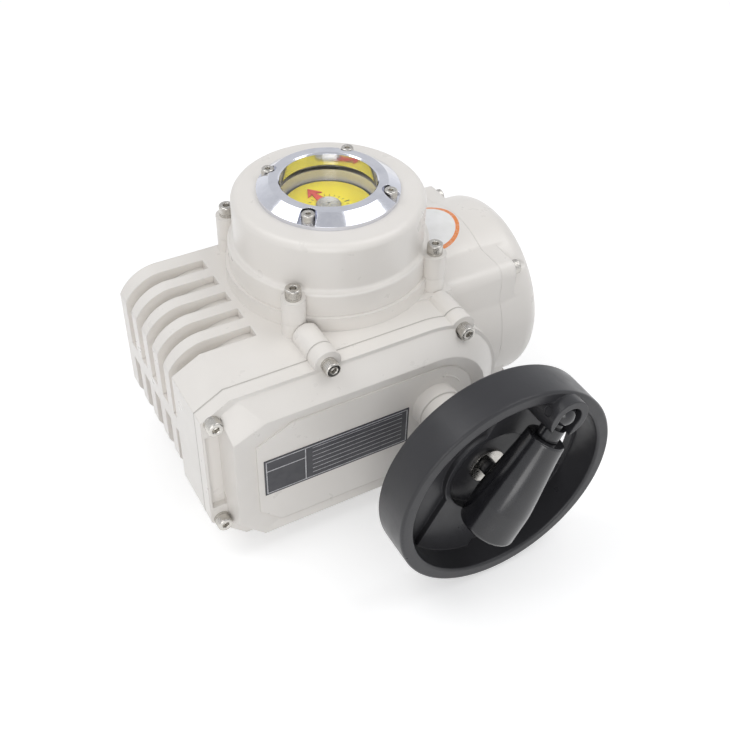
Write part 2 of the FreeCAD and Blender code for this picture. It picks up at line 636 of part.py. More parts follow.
def make_gear_cover():
    """The front cover: bolted ledge, sloping pillow with a raised panel in a shallow dish, and the shaft's nose."""
    body = new_body("gear_cover_casting")
    add(body, case_outline(body, "ledge", 0, 0, COVER_BACK), S.cover_ledge)
    add(body, dots(body, "ledge_lugs", "XZ_Plane", CASE_SCREWS[2:], S.case_lug_radius, COVER_BACK), S.cover_ledge)
    left, high, low = -S.foot_line_left, S.case_mid + S.foot_line_top, S.foot_line_low
    foot = outline(body, "pillow_foot", "XZ_Plane", [
        (left, low + S.foot_line_low_corner), (left, high - S.foot_line_drop), (left + S.foot_line_run, high),
        (S.shaft_x, high, -S.foot_line_top), (S.shaft_x + S.foot_line_top, S.case_mid, -(S.foot_line_top + 6)),
        (S.shaft_x, low), (left + S.foot_line_low_corner, low)], COVER_SEAT)
    crest = gear_cover_crest(body, "pillow_crest", 0, COVER_CREST)
    pillow = body.newObject("PartDesign::AdditiveLoft", "pillow")
    pillow.Profile = foot
    pillow.Sections = [crest]
    pillow.Ruled = True
    brow = gear_cover_crest(body, "panel_brow", 0.6, COVER_CREST)
    left, high, low = -S.panel_left, S.case_mid + S.panel_top, S.panel_low
    panel_corners = [
        (left, low + S.panel_low_corner), (left, high - S.panel_corner_drop), (left + S.panel_corner_run, high),
        (S.shaft_x, high, -S.panel_top), (S.shaft_x + S.panel_top, S.case_mid, -(S.case_mid - S.panel_low + 4)),
        (S.shaft_x, low), (left + S.panel_low_corner, low)]
    panel = outline(body, "panel_floor", "XZ_Plane", panel_corners, COVER_PANEL - S.panel_rise)
    sunk = body.newObject("PartDesign::SubtractiveLoft", "panel")
    sunk.Profile = brow
    sunk.Sections = [panel]
    sunk.Ruled = True
    table = outline(body, "panel_table", "XZ_Plane", panel_corners, COVER_PANEL - S.panel_rise)
    add(body, table, S.panel_rise)
    add(body, ring(body, "boss", "XZ_Plane", S.shaft_x, S.case_mid, [S.cover_boss_radius], COVER_SEAT),
        COVER_PANEL + S.cover_boss_step - COVER_SEAT)
    add(body, ring(body, "nose", "XZ_Plane", S.shaft_x, S.case_mid, [S.cover_nose_radius], COVER_SEAT),
        S.cover_nose_end - COVER_SEAT)
    strip = rectangle(body, "side_strip", "XZ_Plane", -S.case_left + 1.6, S.case_mid - S.strip_reach,
                      -S.case_left + 1.6 + S.strip_width, S.case_mid + S.strip_reach, COVER_SEAT)
    cut(body, strip, S.strip_depth)
    cut(body, case_outline(body, "cover_hollow", S.case_wall, S.case_wall_left, COVER_BACK), 6.4, along=True)
    inner = gear_cover_crest(body, "pillow_hollow", 6, COVER_BACK)
    cut(body, inner, S.cover_crest - S.cover_recess - S.cover_wall, along=True)
    add(body, ring(body, "inner_boss", "XZ_Plane", S.shaft_x, S.case_mid, [S.cover_boss_radius - 2],
                   S.gear_front + 4.5), 6)
    bush = S.shaft_radius + 2
    cut(body, ring(body, "nose_bore", "XZ_Plane", S.shaft_x, S.case_mid, [bush], COVER_BACK),
        S.cover_nose_end - COVER_BACK, along=True)
    cut(body, ring(body, "nose_seal_pocket", "XZ_Plane", S.shaft_x, S.case_mid, [bush + 1.6], S.cover_nose_end), 3.5)
    cut(body, dots(body, "ledge_holes", "XZ_Plane", CASE_SCREWS, S.cap_radius + 0.2, COVER_BACK),
        S.cover_ledge + 1, along=True)
    cut(body, dots(body, "spot_faces", "XZ_Plane", CASE_SCREWS, S.cap_head_radius + 0.7, COVER_SEAT), 12,
        along=True)
    return subpart(body, "gear_cover")


def make_dome():
    """The domed cover over the switches, with its four lugs and the stepped seat of the glass."""
    outer, shoulder = S.dome_radius, S.dome_shoulder
    inner = S.dome_flange_radius - 8
    seat = S.glass_radius + S.seat_clearance
    ceiling = DOME_TOP - S.dome_roof
    body = turned("dome_casting", [
        (inner, S.collar_top), (S.dome_flange_radius, S.collar_top), (S.dome_flange_radius, DOME_SHELF - 1.5, 1.5),
        (S.dome_flange_radius - 1.5, DOME_SHELF), (outer + S.dome_root, DOME_SHELF, -S.dome_root),
        (outer, DOME_SHELF + S.dome_root), (outer, DOME_TOP - shoulder, shoulder), (outer - shoulder, DOME_TOP),
        (seat, DOME_TOP), (seat, GLASS_SEAT), (S.dome_bore, GLASS_SEAT), (S.dome_bore, ceiling),
        (inner - 4, ceiling, -4), (inner, ceiling - 4)])
    add(body, dots(body, "lugs", "XY_Plane", diagonal_spots(S.dome_screw_circle), S.dome_lug_radius, S.collar_top),
        S.dome_flange_height)
    cut(body, ring(body, "inside", "XY_Plane", 0, 0, [inner], S.collar_top), S.dome_flange_height, along=True)
    cut(body, dots(body, "lug_holes", "XY_Plane", diagonal_spots(S.dome_screw_circle), S.cap_radius + 0.2,
                   S.collar_top), S.dome_flange_height + 1, along=True)
    cut(body, dots(body, "head_room", "XY_Plane", diagonal_spots(S.dome_screw_circle), S.cap_head_radius + 0.5,
                   DOME_SHELF), S.dome_height, along=True)
    cut(body, dots(body, "bezel_holes", "XY_Plane", diagonal_spots(S.bezel_screw_circle),
                   S.small_radius + S.screw_clearance, DOME_TOP), 8)
    return subpart(body, "dome_cover")


def make_bezel():
    """The chromed window ring: flat top, conical edge and four notches that hold the screws."""
    spigot = S.glass_radius - 0.1
    body = turned("bezel_ring", [
        (S.window_radius, DOME_TOP - S.bezel_spigot), (spigot, DOME_TOP - S.bezel_spigot), (spigot, DOME_TOP),
        (S.bezel_radius, DOME_TOP), (S.bezel_radius, DOME_TOP + S.bezel_edge), (S.bezel_flat_radius, BEZEL_TOP),
        (S.window_radius + 0.8, BEZEL_TOP), (S.window_radius, BEZEL_TOP - 0.8)])
    floor = DOME_TOP + S.bezel_notch_floor
    half = S.bezel_notch_width / 2
    round_part = cut(body, ring(body, "notch_end", "XY_Plane", S.bezel_screw_circle, 0, [half], floor),
                     S.bezel_height, along=True)
    straight = cut(body, rectangle(body, "notch_mouth", "XY_Plane", S.bezel_screw_circle, -half,
                                   S.bezel_radius + 3, half, floor), S.bezel_height, along=True)
    hole = cut(body, ring(body, "notch_hole", "XY_Plane", S.bezel_screw_circle, 0, [S.small_radius + 0.2],
                          DOME_TOP - 1), S.bezel_height, along=True)
    pattern = body.newObject("PartDesign::PolarPattern", "notch_pattern")
    pattern.Originals = [round_part, straight, hole]
    pattern.Axis = (round_part.Profile[0], ["N_Axis"])
    pattern.Angle = 360
    pattern.Occurrences = 4
    body.Tip = pattern
    place(body, 0, 0, 0, (0, 0, 1), 45)
    return subpart(body, "sight_bezel")


def make_terminal_cover():
    """The round end cover of the terminal drum, with a square bolted flange."""
    body = new_body("terminal_casting")
    add(body, ring(body, "dish", "YZ_Plane", S.drum_y, S.drum_z, [S.drum_radius], S.drum_face), S.drum_cover_depth)
    end = S.drum_face + S.drum_cover_depth
    round_edges(body, lambda e: is_circle(e, S.drum_radius.value) and abs(e.BoundBox.XMin - end.value) < 1e-3,
                S.drum_cover_round, "dish_round")
    flange = square_with_round_corners(body, "flange", S.drum_y, S.drum_z, S.drum_screw_reach, S.drum_lug_radius,
                                       S.drum_face)
    add(body, flange, S.drum_cover_flange)
    cut(body, ring(body, "hollow", "YZ_Plane", S.drum_y, S.drum_z, [S.drum_radius - S.drum_cover_round],
                   S.drum_face), S.drum_cover_depth - S.dome_wall, along=True)
    cut(body, dots(body, "holes", "YZ_Plane", DRUM_SCREWS, S.cap_radius + 0.2, S.drum_face),
        S.drum_cover_flange + 1, along=True)
    cut(body, dots(body, "head_room", "YZ_Plane", DRUM_SCREWS, S.cap_head_radius + 0.5,
                   S.drum_face + S.drum_cover_flange), S.drum_cover_depth, along=True)
    return subpart(body, "terminal_cover")


def cap_screw(name, radius, head_radius, head_height, socket, length):
    """A socket head screw along Z, the underside of its head at z = 0."""
    body = turned(name, [
        (0, -length), (radius - 0.5, -length), (radius, -(length - 0.5)), (radius, 0), (head_radius, 0),
        (head_radius, head_height - 0.6), (head_radius - 0.6, head_height), (0, head_height)])
    corners = [(socket * math.cos(math.radians(60 * k)), socket * math.sin(math.radians(60 * k)))
               for k in range(6)]
    cut(body, outline(body, name + "_socket", "XY_Plane", corners, head_height), head_height * 0.55)
    return body


def washer(name, radius, head_radius, thickness):
    return tube(name, radius + 0.2, head_radius, 0, thickness)


def hex_block(body, name, role, reach, height, offset=0):
    """A hexagon, reach from centre to corner."""
    corners = [(reach * math.cos(math.radians(60 * k)), reach * math.sin(math.radians(60 * k)))
               for k in range(6)]
    return add(body, outline(body, name, role, corners, offset), height)


def make_fasteners():
    """All outer screws and washers: one piece of each kind, copied to its places."""
    long_screw = cap_screw("m5_screw", S.cap_radius, S.cap_head_radius, S.cap_head_height, S.cap_socket,
                           S.cap_length)
    long_washer = washer("m5_washer", S.cap_radius, S.cap_head_radius, S.washer_thickness)
    small_screw = cap_screw("m4_screw", S.small_radius, S.small_head_radius, S.small_head_height, S.small_socket,
                            S.small_length)
    small_washer = washer("m4_washer", S.small_radius, S.small_head_radius, S.small_washer_thickness)
    front, side = FRONTWARD, ((0, 1, 0), 90)
    up = S.washer_thickness
    copies("gear_cover_screws", long_screw, [(x, -(COVER_SEAT + up), z, *front) for x, z in CASE_SCREWS])
    dome = diagonal_spots(S.dome_screw_circle)
    copies("dome_screws", long_screw, [(x, y, DOME_SHELF + up) for x, y in dome])
    seat = S.drum_face + S.drum_cover_flange
    copies("terminal_screws", long_screw, [(seat + up, y, z, *side) for y, z in DRUM_SCREWS])
    floor = DOME_TOP + S.bezel_notch_floor
    bezel = diagonal_spots(S.bezel_screw_circle)
    copies("bezel_screws", small_screw, [(x, y, floor + S.small_washer_thickness) for x, y in bezel])
    copies("bezel_washers", small_washer, [(x, y, floor) for x, y in bezel])
    plate_top = S.plate_seat + S.plate_thickness
    short_screw = cap_screw("m4_short", S.small_radius, S.small_head_radius, S.small_head_height, S.small_socket,
                            S.small_length + 5)
    copies("motor_screws", short_screw, [(x, -S.case_floor, z, *front) for x, z in MOTOR_SCREWS])
    back = ((1, 0, 0), -90)
    copies("inner_screws", small_screw,
           [(x, y, plate_top) for x, y in diagonal_spots(S.plate_screw_circle)]
           + [(x, BARREL_BACK + S.motor_cap_thickness, z, *back) for x, z in MOTOR_COVER_SCREWS])
    earth = cap_screw("earth_bolt", S.cap_radius, S.cap_head_radius, S.cap_head_height, S.cap_socket, 9)
    copies("earth_screw", earth, [(EARTH[0], S.block_back + up, EARTH[1], *back)])
    copies("cover_washers", long_washer,
           [(x, -COVER_SEAT, z, *front) for x, z in CASE_SCREWS] + [(x, y, DOME_SHELF) for x, y in dome]
           + [(seat, y, z, *side) for y, z in DRUM_SCREWS] + [(EARTH[0], S.block_back, EARTH[1], *back)])


def make_seals():
    """The gasket of the gear case and the round seals of the covers."""
    body = new_body("case_gasket_sheet")
    add(body, case_outline(body, "sheet", 0, 0, S.case_front), S.gasket_thickness)
    add(body, dots(body, "ears", "XZ_Plane", CASE_SCREWS[2:], S.case_lug_radius, S.case_front), S.gasket_thickness)
    cut(body, case_outline(body, "window", S.case_wall, S.case_wall_left, S.case_front), S.gasket_thickness,
        along=True)
    cut(body, dots(body, "gasket_holes", "XZ_Plane", CASE_SCREWS, S.cap_radius + 0.2, S.case_front),
        S.gasket_thickness, along=True)
    subpart(body, "case_gasket")
    half = S.dome_seal_width / 2 - 0.05
    subpart(tube("dome_ring", S.dome_seal_radius - half, S.dome_seal_radius + half,
                 S.collar_top - S.dome_seal_depth, S.collar_top), "dome_seal")
    ring_body = new_body("terminal_ring")
    half = S.drum_seal_width / 2 - 0.05
    add(ring_body, ring(ring_body, "terminal_ring_profile", "YZ_Plane", S.drum_y, S.drum_z,
                        [S.drum_seal_radius - half, S.drum_seal_radius + half], S.drum_face - S.drum_seal_depth),
        S.drum_seal_depth)
    subpart(ring_body, "terminal_seal")
    subpart(tube("lip_seal", S.journal_radius + S.running_clearance, S.seal_radius, S.seal_recess,
                 S.seal_recess + S.seal_height), "output_seal")


def make_window():
    """Glass and the dark ring under the bezel, then the dial below them."""
    radius = S.glass_radius
    subpart(turned("glass_disc", [(0, GLASS_LOW), (radius - 0.6, GLASS_LOW), (radius, GLASS_LOW + 0.6),
                                  (radius, GLASS_TOP - 0.6), (radius - 0.6, GLASS_TOP), (0, GLASS_TOP)]),
            "sight_glass")
    subpart(tube("dark_ring", radius - S.glass_ring_width, radius, GLASS_TOP, GLASS_TOP + S.glass_ring_height),
            "glass_ring")
    plate = tube("dial_disc", S.dial_hole, S.dial_radius, S.dial_level, S.dial_level + S.dial_thickness)
    subpart(plate, "dial_plate")
    plate_top = S.plate_seat + S.plate_thickness
    post = cylinder("post", S.post_radius, S.dial_level - plate_top)
    copies("dial_posts", post, [(0, S.post_circle, plate_top), (0, -S.post_circle, plate_top)])


def make_output():
    """Everything that turns with the output: drive sleeve, worm wheel, stop sector, indicator shaft and pointer."""
    journal, neck = S.journal_radius, S.sleeve_neck
    body = turned("sleeve", [
        (0, 0.5), (journal - 1, 0.5), (journal, 1.5), (journal, S.sleeve_shoulder_low),
        (S.sleeve_shoulder, S.sleeve_shoulder_low), (S.sleeve_shoulder, S.sleeve_shoulder_high),
        (journal, S.sleeve_shoulder_high), (journal, S.sleeve_neck_start), (neck, S.sleeve_neck_start),
        (neck, S.sleeve_top), (0, S.sleeve_top)])
    half = S.square_socket / 2
    cut(body, rectangle(body, "socket", "XY_Plane", -half, -half, half, half), S.socket_depth, along=True)
    cut(body, ring(body, "shaft_bore", "XY_Plane", 0, 0, [S.indicator_radius], S.sleeve_top), S.indicator_depth)
    subpart(body, "drive_sleeve")
    subpart(tube("base_sleeve_bush", journal + S.running_clearance, journal + S.bush_wall,
                 S.seal_recess + S.seal_height + S.seat_clearance, BUSH_TOP), "base_bush")
    low = WORM_Z - S.wheel_face / 2
    blank = toothed("worm_wheel_blank", WORM_WHEEL_TEETH, WORM_WHEEL_MODULE, WORM_BACKLASH,
                    math.pi + math.pi / WORM_WHEEL_TEETH, S.wheel_face)
    hub = cylinder("worm_wheel_hub", journal + 6.5, S.wheel_face + 8, 0, 0, -4)
    wheel = less("worm_wheel_bored", fused("worm_wheel_body", [blank, hub]),
                 cylinder("worm_wheel_bore", journal, S.wheel_face + 20, 0, 0, -10))
    place(wheel, 0, 0, low)
    subpart(wheel, "worm_wheel")
    sector = new_body("stop_arm")
    add(sector, ring(sector, "stop_hub", "XY_Plane", 0, 0, [journal + 7], S.stop_low), S.stop_height)
    add(sector, outline(sector, "stop_quadrant", "XY_Plane", [
        (0, 0), (-S.stop_radius, 0, S.stop_radius), (0, -S.stop_radius)], S.stop_low), S.stop_height)
    cut(sector, ring(sector, "stop_bore", "XY_Plane", 0, 0, [journal], S.stop_low), S.stop_height, along=True)
    subpart(sector, "stop_sector")
    radius = S.indicator_radius
    pointer_low = S.dial_level + S.dial_thickness + 0.3
    shaft = turned("indicator_spindle", [
        (0, S.sleeve_top - S.indicator_depth), (radius, S.sleeve_top - S.indicator_depth), (radius, pointer_low),
        (0, pointer_low)])
    cut(shaft, ring(shaft, "pointer_thread", "XY_Plane", 0, 0, [1.25], pointer_low), 6)
    subpart(shaft, "indicator_shaft")
    disc = cylinder("cam_disc", S.cam_radius, S.cam_height)
    lobe = cylinder("cam_nose", S.cam_lobe, S.cam_height, S.cam_radius)
    cam = less("cam", fused("cam_solid", [disc, lobe]), cylinder("cam_bore", radius, S.cam_height))
    copies("limit_cams", cam, [(0, 0, S.cam_low, (0, 0, 1), -45), (0, 0, S.cam_low + S.cam_pitch, (0, 0, 1), 45)])
    arrow = new_body("pointer_arrow")
    length = S.pointer_length
    add(arrow, outline(arrow, "arrow_outline", "XY_Plane", [
        (length, 0), (length - 7, 4.6), (length - 5.6, 1), (2, 3.4), (-2, 3.4), (-2, -3.4), (2, -3.4),
        (length - 5.6, -1), (length - 7, -4.6)], pointer_low), S.pointer_thickness)
    cut(arrow, ring(arrow, "arrow_hole", "XY_Plane", 0, 0, [1.3], pointer_low), S.pointer_thickness, along=True)
    place(arrow, 0, 0, 0, (0, 0, 1), S.pointer_angle)
    subpart(arrow, "pointer")
    pin = cap_screw("pointer_bolt", 1.2, 6.8, 1.1, 0.8, 5)
    place(pin, 0, 0, pointer_low + S.pointer_thickness)
    subpart(pin, "pointer_screw")


def make_stops():
    """The two end-stop screws from the back and their lock nuts."""
    radius = S.stop_screw_radius
    reach = S.block_back + S.stop_screw_out - 0.3
    screw = turned("stop_bolt", [(0, 0), (radius - 0.8, 0), (radius, 0.8), (radius, reach - 0.8),
                                 (radius - 0.8, reach), (0, reach)])
    back = ((1, 0, 0), -90)
    spots = [-S.stop_screw_x, S.stop_screw_x]
    copies("stop_screws", screw, [(x, 0.3, STOP_Z, *back) for x in spots])
    nut = new_body("lock_nut")
    hex_block(nut, "nut_hexagon", "XY_Plane", 7.2, 6.5)
    cut(nut, ring(nut, "nut_bore", "XY_Plane", 0, 0, [radius + S.screw_clearance], 6.5), 6.5)
    copies("stop_nuts", nut, [(x, S.block_back, STOP_Z, *back) for x in spots])


def make_worm():
    """The worm shaft with its gear and bearings; everything along Y at the worm's own place."""
    body = new_body("worm_body")
    thread = outline(body, "thread_section", "XY_Plane", thread_corners())
    helix = body.newObject("PartDesign::AdditiveHelix", "thread")
    helix.Profile = thread
    helix.ReferenceAxis = (thread, ["V_Axis"])
    helix.Mode = 1
    bind(helix, "Pitch", S.worm_lead)
    bind(helix, "Turns", S.worm_turns)
    helix.LeftHanded = False
    half = S.worm_half
    add(body, ring(body, "core", "XZ_Plane", 0, 0, [S.worm_core], -half), half * 2)
    shaft_low = -(S.bearing_back + S.bearing_width)
    shaft_high = S.gear_front + 3
    add(body, ring(body, "journal", "XZ_Plane", 0, 0, [S.worm_journal], shaft_low), shaft_high - shaft_low)
    place(body, -S.worm_x, 0, WORM_Z)
    subpart(body, "worm_shaft")
    bearing = turned("ball_bearing", [
        (S.worm_journal + S.running_clearance, 0), (S.worm_bore - 0.02, 0), (S.worm_bore - 0.02, S.bearing_width),
        (S.worm_journal + S.running_clearance, S.bearing_width)])
    copies("worm_bearings", bearing, [
        (-S.worm_x, -(S.bearing_front - S.bearing_width), WORM_Z, *FRONTWARD),
        (-S.worm_x, S.bearing_back + S.bearing_width, WORM_Z, *FRONTWARD)])


def thread_corners():
    """The worm thread's section in the plane of the axis, at the start of the helix."""
    pitch_radius = S.worm_x - WORM_WHEEL_TEETH * WORM_WHEEL_MODULE / 2
    half = math.pi * WORM_WHEEL_MODULE / 4 - WORM_BACKLASH / 4
    slope = math.tan(PRESSURE_ANGLE)
    start = -S.worm_lead * S.worm_turns / 2
    inner, outer = S.worm_core - 0.6, S.worm_tip
    wide = (pitch_radius - inner) * slope + half
    narrow = (pitch_radius - outer) * slope + half
    return [(inner, start - wide), (outer, start - narrow), (outer, start + narrow), (inner, start + wide)]


def spur(label, teeth, phase, x, bore, hub_radius, lightening):
    """A spur gear of the train behind the front cover, with a thinned web where there is room."""
    blank = toothed(label + "_blank", teeth, SPUR_MODULE, SPUR_BACKLASH, phase, S.gear_width)
    tools = [cylinder(label + "_bore", bore, S.gear_width + 4, 0, 0, -2)]
    if lightening:
        web = tube(label + "_web", hub_radius, teeth * SPUR_MODULE / 2 - 5, S.gear_width - lightening,
                   S.gear_width + 2)
        tools.append(web)
    gear = less(label + "_gear", blank, fused(label + "_tools", tools) if len(tools) > 1 else tools[0])
    place(gear, x, -(S.gear_front - S.gear_width), S.case_mid, *FRONTWARD)
    return subpart(gear, label)


def make_spurs():
    """Motor pinion, worm gear and handwheel gear, which mesh in one row."""
    spur("motor_pinion", MOTOR_PINION_TEETH, 0, -S.motor_x, S.motor_shaft_radius, 0, 0)
    spur("worm_gear", WORM_GEAR_TEETH, math.pi + math.pi / WORM_GEAR_TEETH, -S.worm_x, S.worm_journal,
         S.gear_hub_radius, S.gear_lightening)
    spur("handwheel_gear", HANDWHEEL_GEAR_TEETH, math.pi, S.shaft_x, S.shaft_radius, S.gear_hub_radius,
         S.gear_lightening)


def make_motor():
    """The motor in the barrel: can, shaft and the cap that closes the barrel at the back."""
    radius, neck = S.motor_radius, S.motor_neck
    face = S.motor_face
    low = face - S.motor_length
    bore = S.motor_shaft_radius + S.running_clearance
    can = turned("motor_case", [
        (0, low), (radius - 1.5, low), (radius, low + 1.5), (radius, face), (neck, face), (neck, face + 3),
        (bore, face + 3), (bore, face - 20), (0, face - 20)])
    holes = [(16 * math.cos(math.radians(a)), 16 * math.sin(math.radians(a))) for a in (90, 210, 330)]
    cut(can, dots(can, "can_holes", "XY_Plane", holes, S.small_radius + S.screw_clearance, face), 12)
    place(can, -S.motor_x, 0, WORM_Z, *FRONTWARD)
    subpart(can, "motor_can")
    shaft_radius = S.motor_shaft_radius
    shaft = turned("motor_spindle", [(0, face - 19.5), (shaft_radius, face - 19.5), (shaft_radius, S.gear_front + 1),
                                     (0, S.gear_front + 1)])
    place(shaft, -S.motor_x, 0, WORM_Z, *FRONTWARD)
    subpart(shaft, "motor_shaft")
    thick = S.motor_cap_thickness
    cap = turned("motor_lid", [(0, -thick), (S.motor_cap_radius - 1, -thick), (S.motor_cap_radius, 1 - thick),
                               (S.motor_cap_radius, 0), (0, 0)])
    spots = [(25 * math.cos(math.radians(a)), 25 * math.sin(math.radians(a))) for a in (60, 180, 300)]
    cut(cap, dots(cap, "lid_holes", "XY_Plane", spots, S.small_radius + 0.2), thick + 1)
    place(cap, -S.motor_x, BARREL_BACK, WORM_Z, *FRONTWARD)
    subpart(cap, "motor_cap")


def make_plate():
    """The upper plate over the worm wheel, its bush, the microswitches and the terminal board."""
    low, high = S.plate_seat, S.plate_seat + S.plate_thickness
    plate = tube("plate_disc", S.plate_bush_radius, S.plate_bore - 0.3, low, high)
    cut(plate, dots(plate, "plate_screw_holes", "XY_Plane", diagonal_spots(S.plate_screw_circle),
                    S.small_radius + 0.2, low), S.plate_thickness, along=True)
    cut(plate, ring(plate, "wire_hole", "XY_Plane", 0, S.plate_screw_circle - 2, [4], low), S.plate_thickness,
        along=True)
    subpart(plate, "upper_plate")
    subpart(tube("top_bush", S.sleeve_neck + S.running_clearance, S.plate_bush_radius, low - 1.5, high + 1.5),
            "upper_bush")
    bracket = new_body("bracket_sheet")
    add(bracket, rectangle(bracket, "bracket_foot", "XY_Plane", 22, -10, 42, 10, high), 1.5)
    add(bracket, rectangle(bracket, "bracket_wall", "XY_Plane", 40.5, -10, 42, 10, high), 24)
    subpart(bracket, "switch_bracket")
    switch = new_body("microswitch")
    add(switch, rectangle(switch, "switch_case", "XY_Plane", 20, -9.5, 40.5, 9.5), 5.6)
    add(switch, rectangle(switch, "switch_button", "XY_Plane", 18, -1.5, 20.5, 1.5, 1.5), 2.6)
    middle = (S.cam_height - 5.6) / 2
    copies("limit_switches", switch, [(0, 0, S.cam_low + middle), (0, 0, S.cam_low + S.cam_pitch + middle)])
    post = tube("standoff", 1.5, 3, 0, 8)
    side = ((0, 1, 0), 90)
    copies("board_standoffs", post, [(S.drum_floor, y, z, *side) for y, z in BOARD_POSTS])
    board = new_body("board_sheet")
    x = S.drum_floor + 8
    add(board, rectangle(board, "board_outline", "YZ_Plane", S.drum_y - 32, S.drum_z - 29, S.drum_y + 32,
                         S.drum_z + 29, x), 1.6)
    cut(board, dots(board, "board_screw_holes", "YZ_Plane", BOARD_POSTS, 1.5, x), 1.6, along=True)
    subpart(board, "control_board")
    block = new_body("terminal_strip")
    strip_x = x + 1.6
    add(block, rectangle(block, "strip_outline", "YZ_Plane", S.drum_y - 27, S.drum_z - 8, S.drum_y + 27,
                         S.drum_z + 8, strip_x), 12)
    entries = [(S.drum_y - 22.5 + 9 * k, S.drum_z) for k in range(6)]
    cut(block, dots(block, "strip_entries", "YZ_Plane", entries, 2.6, strip_x + 12), 8)
    subpart(block, "terminal_block")


def make_bushes():
    """The two bushes and the seal of the handwheel shaft."""
    inner, outer = S.shaft_radius + S.running_clearance, S.shaft_radius + 2
    bush = tube("shaft_bush", inner, outer, 0, 11)
    copies("shaft_bushes", bush, [(S.shaft_x, -(S.case_floor - 11), S.case_mid, *FRONTWARD),
                                  (S.shaft_x, -(S.cover_nose_end - 15), S.case_mid, *FRONTWARD)])
    seal = tube("shaft_ring", inner, outer + 1.6, 0, 3.3)
    place(seal, S.shaft_x, -(S.cover_nose_end - 3.5), S.case_mid, *FRONTWARD)
    subpart(seal, "shaft_seal")


def make_glands():
    """Two cable glands at the back of the drum."""
    body = new_body("gland_piece")
    hex_block(body, "gland_hexagon", "XY_Plane", S.gland_hex, S.gland_hex_height)
    add(body, ring(body, "gland_tail", "XY_Plane", 0, 0, [S.gland_thread - S.screw_clearance], -12), 12)
    add(body, ring(body, "gland_neck", "XY_Plane", 0, 0, [S.gland_thread - 0.5], S.gland_hex_height), 6)
    cut(body, ring(body, "gland_bore", "XY_Plane", 0, 0, [S.cable_bore + 1], -12), 40, along=True)
    back = ((1, 0, 0), -90)
    copies("gland_bodies", body, [(x, S.gland_face, z, *back) for x, z in GLANDS])
    low = S.gland_hex_height
    nut = new_body("gland_cap")
    hex_block(nut, "cap_hexagon", "XY_Plane", S.gland_hex - 0.6, 7, low + 0.3)
    add(nut, ring(nut, "cap_dome", "XY_Plane", 0, 0, [S.gland_thread + 0.8], low + 7.3), 4)
    cut(nut, ring(nut, "cap_thread", "XY_Plane", 0, 0, [S.gland_thread - 0.45], low), 6.6, along=True)
    cut(nut, ring(nut, "cap_bore", "XY_Plane", 0, 0, [S.cable_bore], low), 20, along=True)
    copies("gland_nuts", nut, [(x, S.gland_face, z, *back) for x, z in GLANDS])


def wheel_window(body, side):
    """One opening of the web, between the spoke's edge and a radial line: side is 1 or -1."""
    inner, outer = S.window_inner, S.window_outer
    edge = S.spoke_half + 1.5
    turn = math.radians(S.window_end.value)
    near = math.sqrt(inner.value ** 2 - edge.value ** 2)
    far = math.sqrt(outer.value ** 2 - edge.value ** 2)
    inner_end = (inner.value * math.cos(turn), side * inner.value * math.sin(turn))
    outer_end = (outer.value * math.cos(turn), side * outer.value * math.sin(turn))
    if side > 0:
        corners = [(near, edge), (far, edge, outer), outer_end, (*inner_end, -inner)]
    else:
        corners = [inner_end, (*outer_end, outer), (far, -edge), (near, -edge, -inner)]
    return outline(body, "window_up" if side > 0 else "window_down", "XZ_Plane", corners, S.spoke_back)


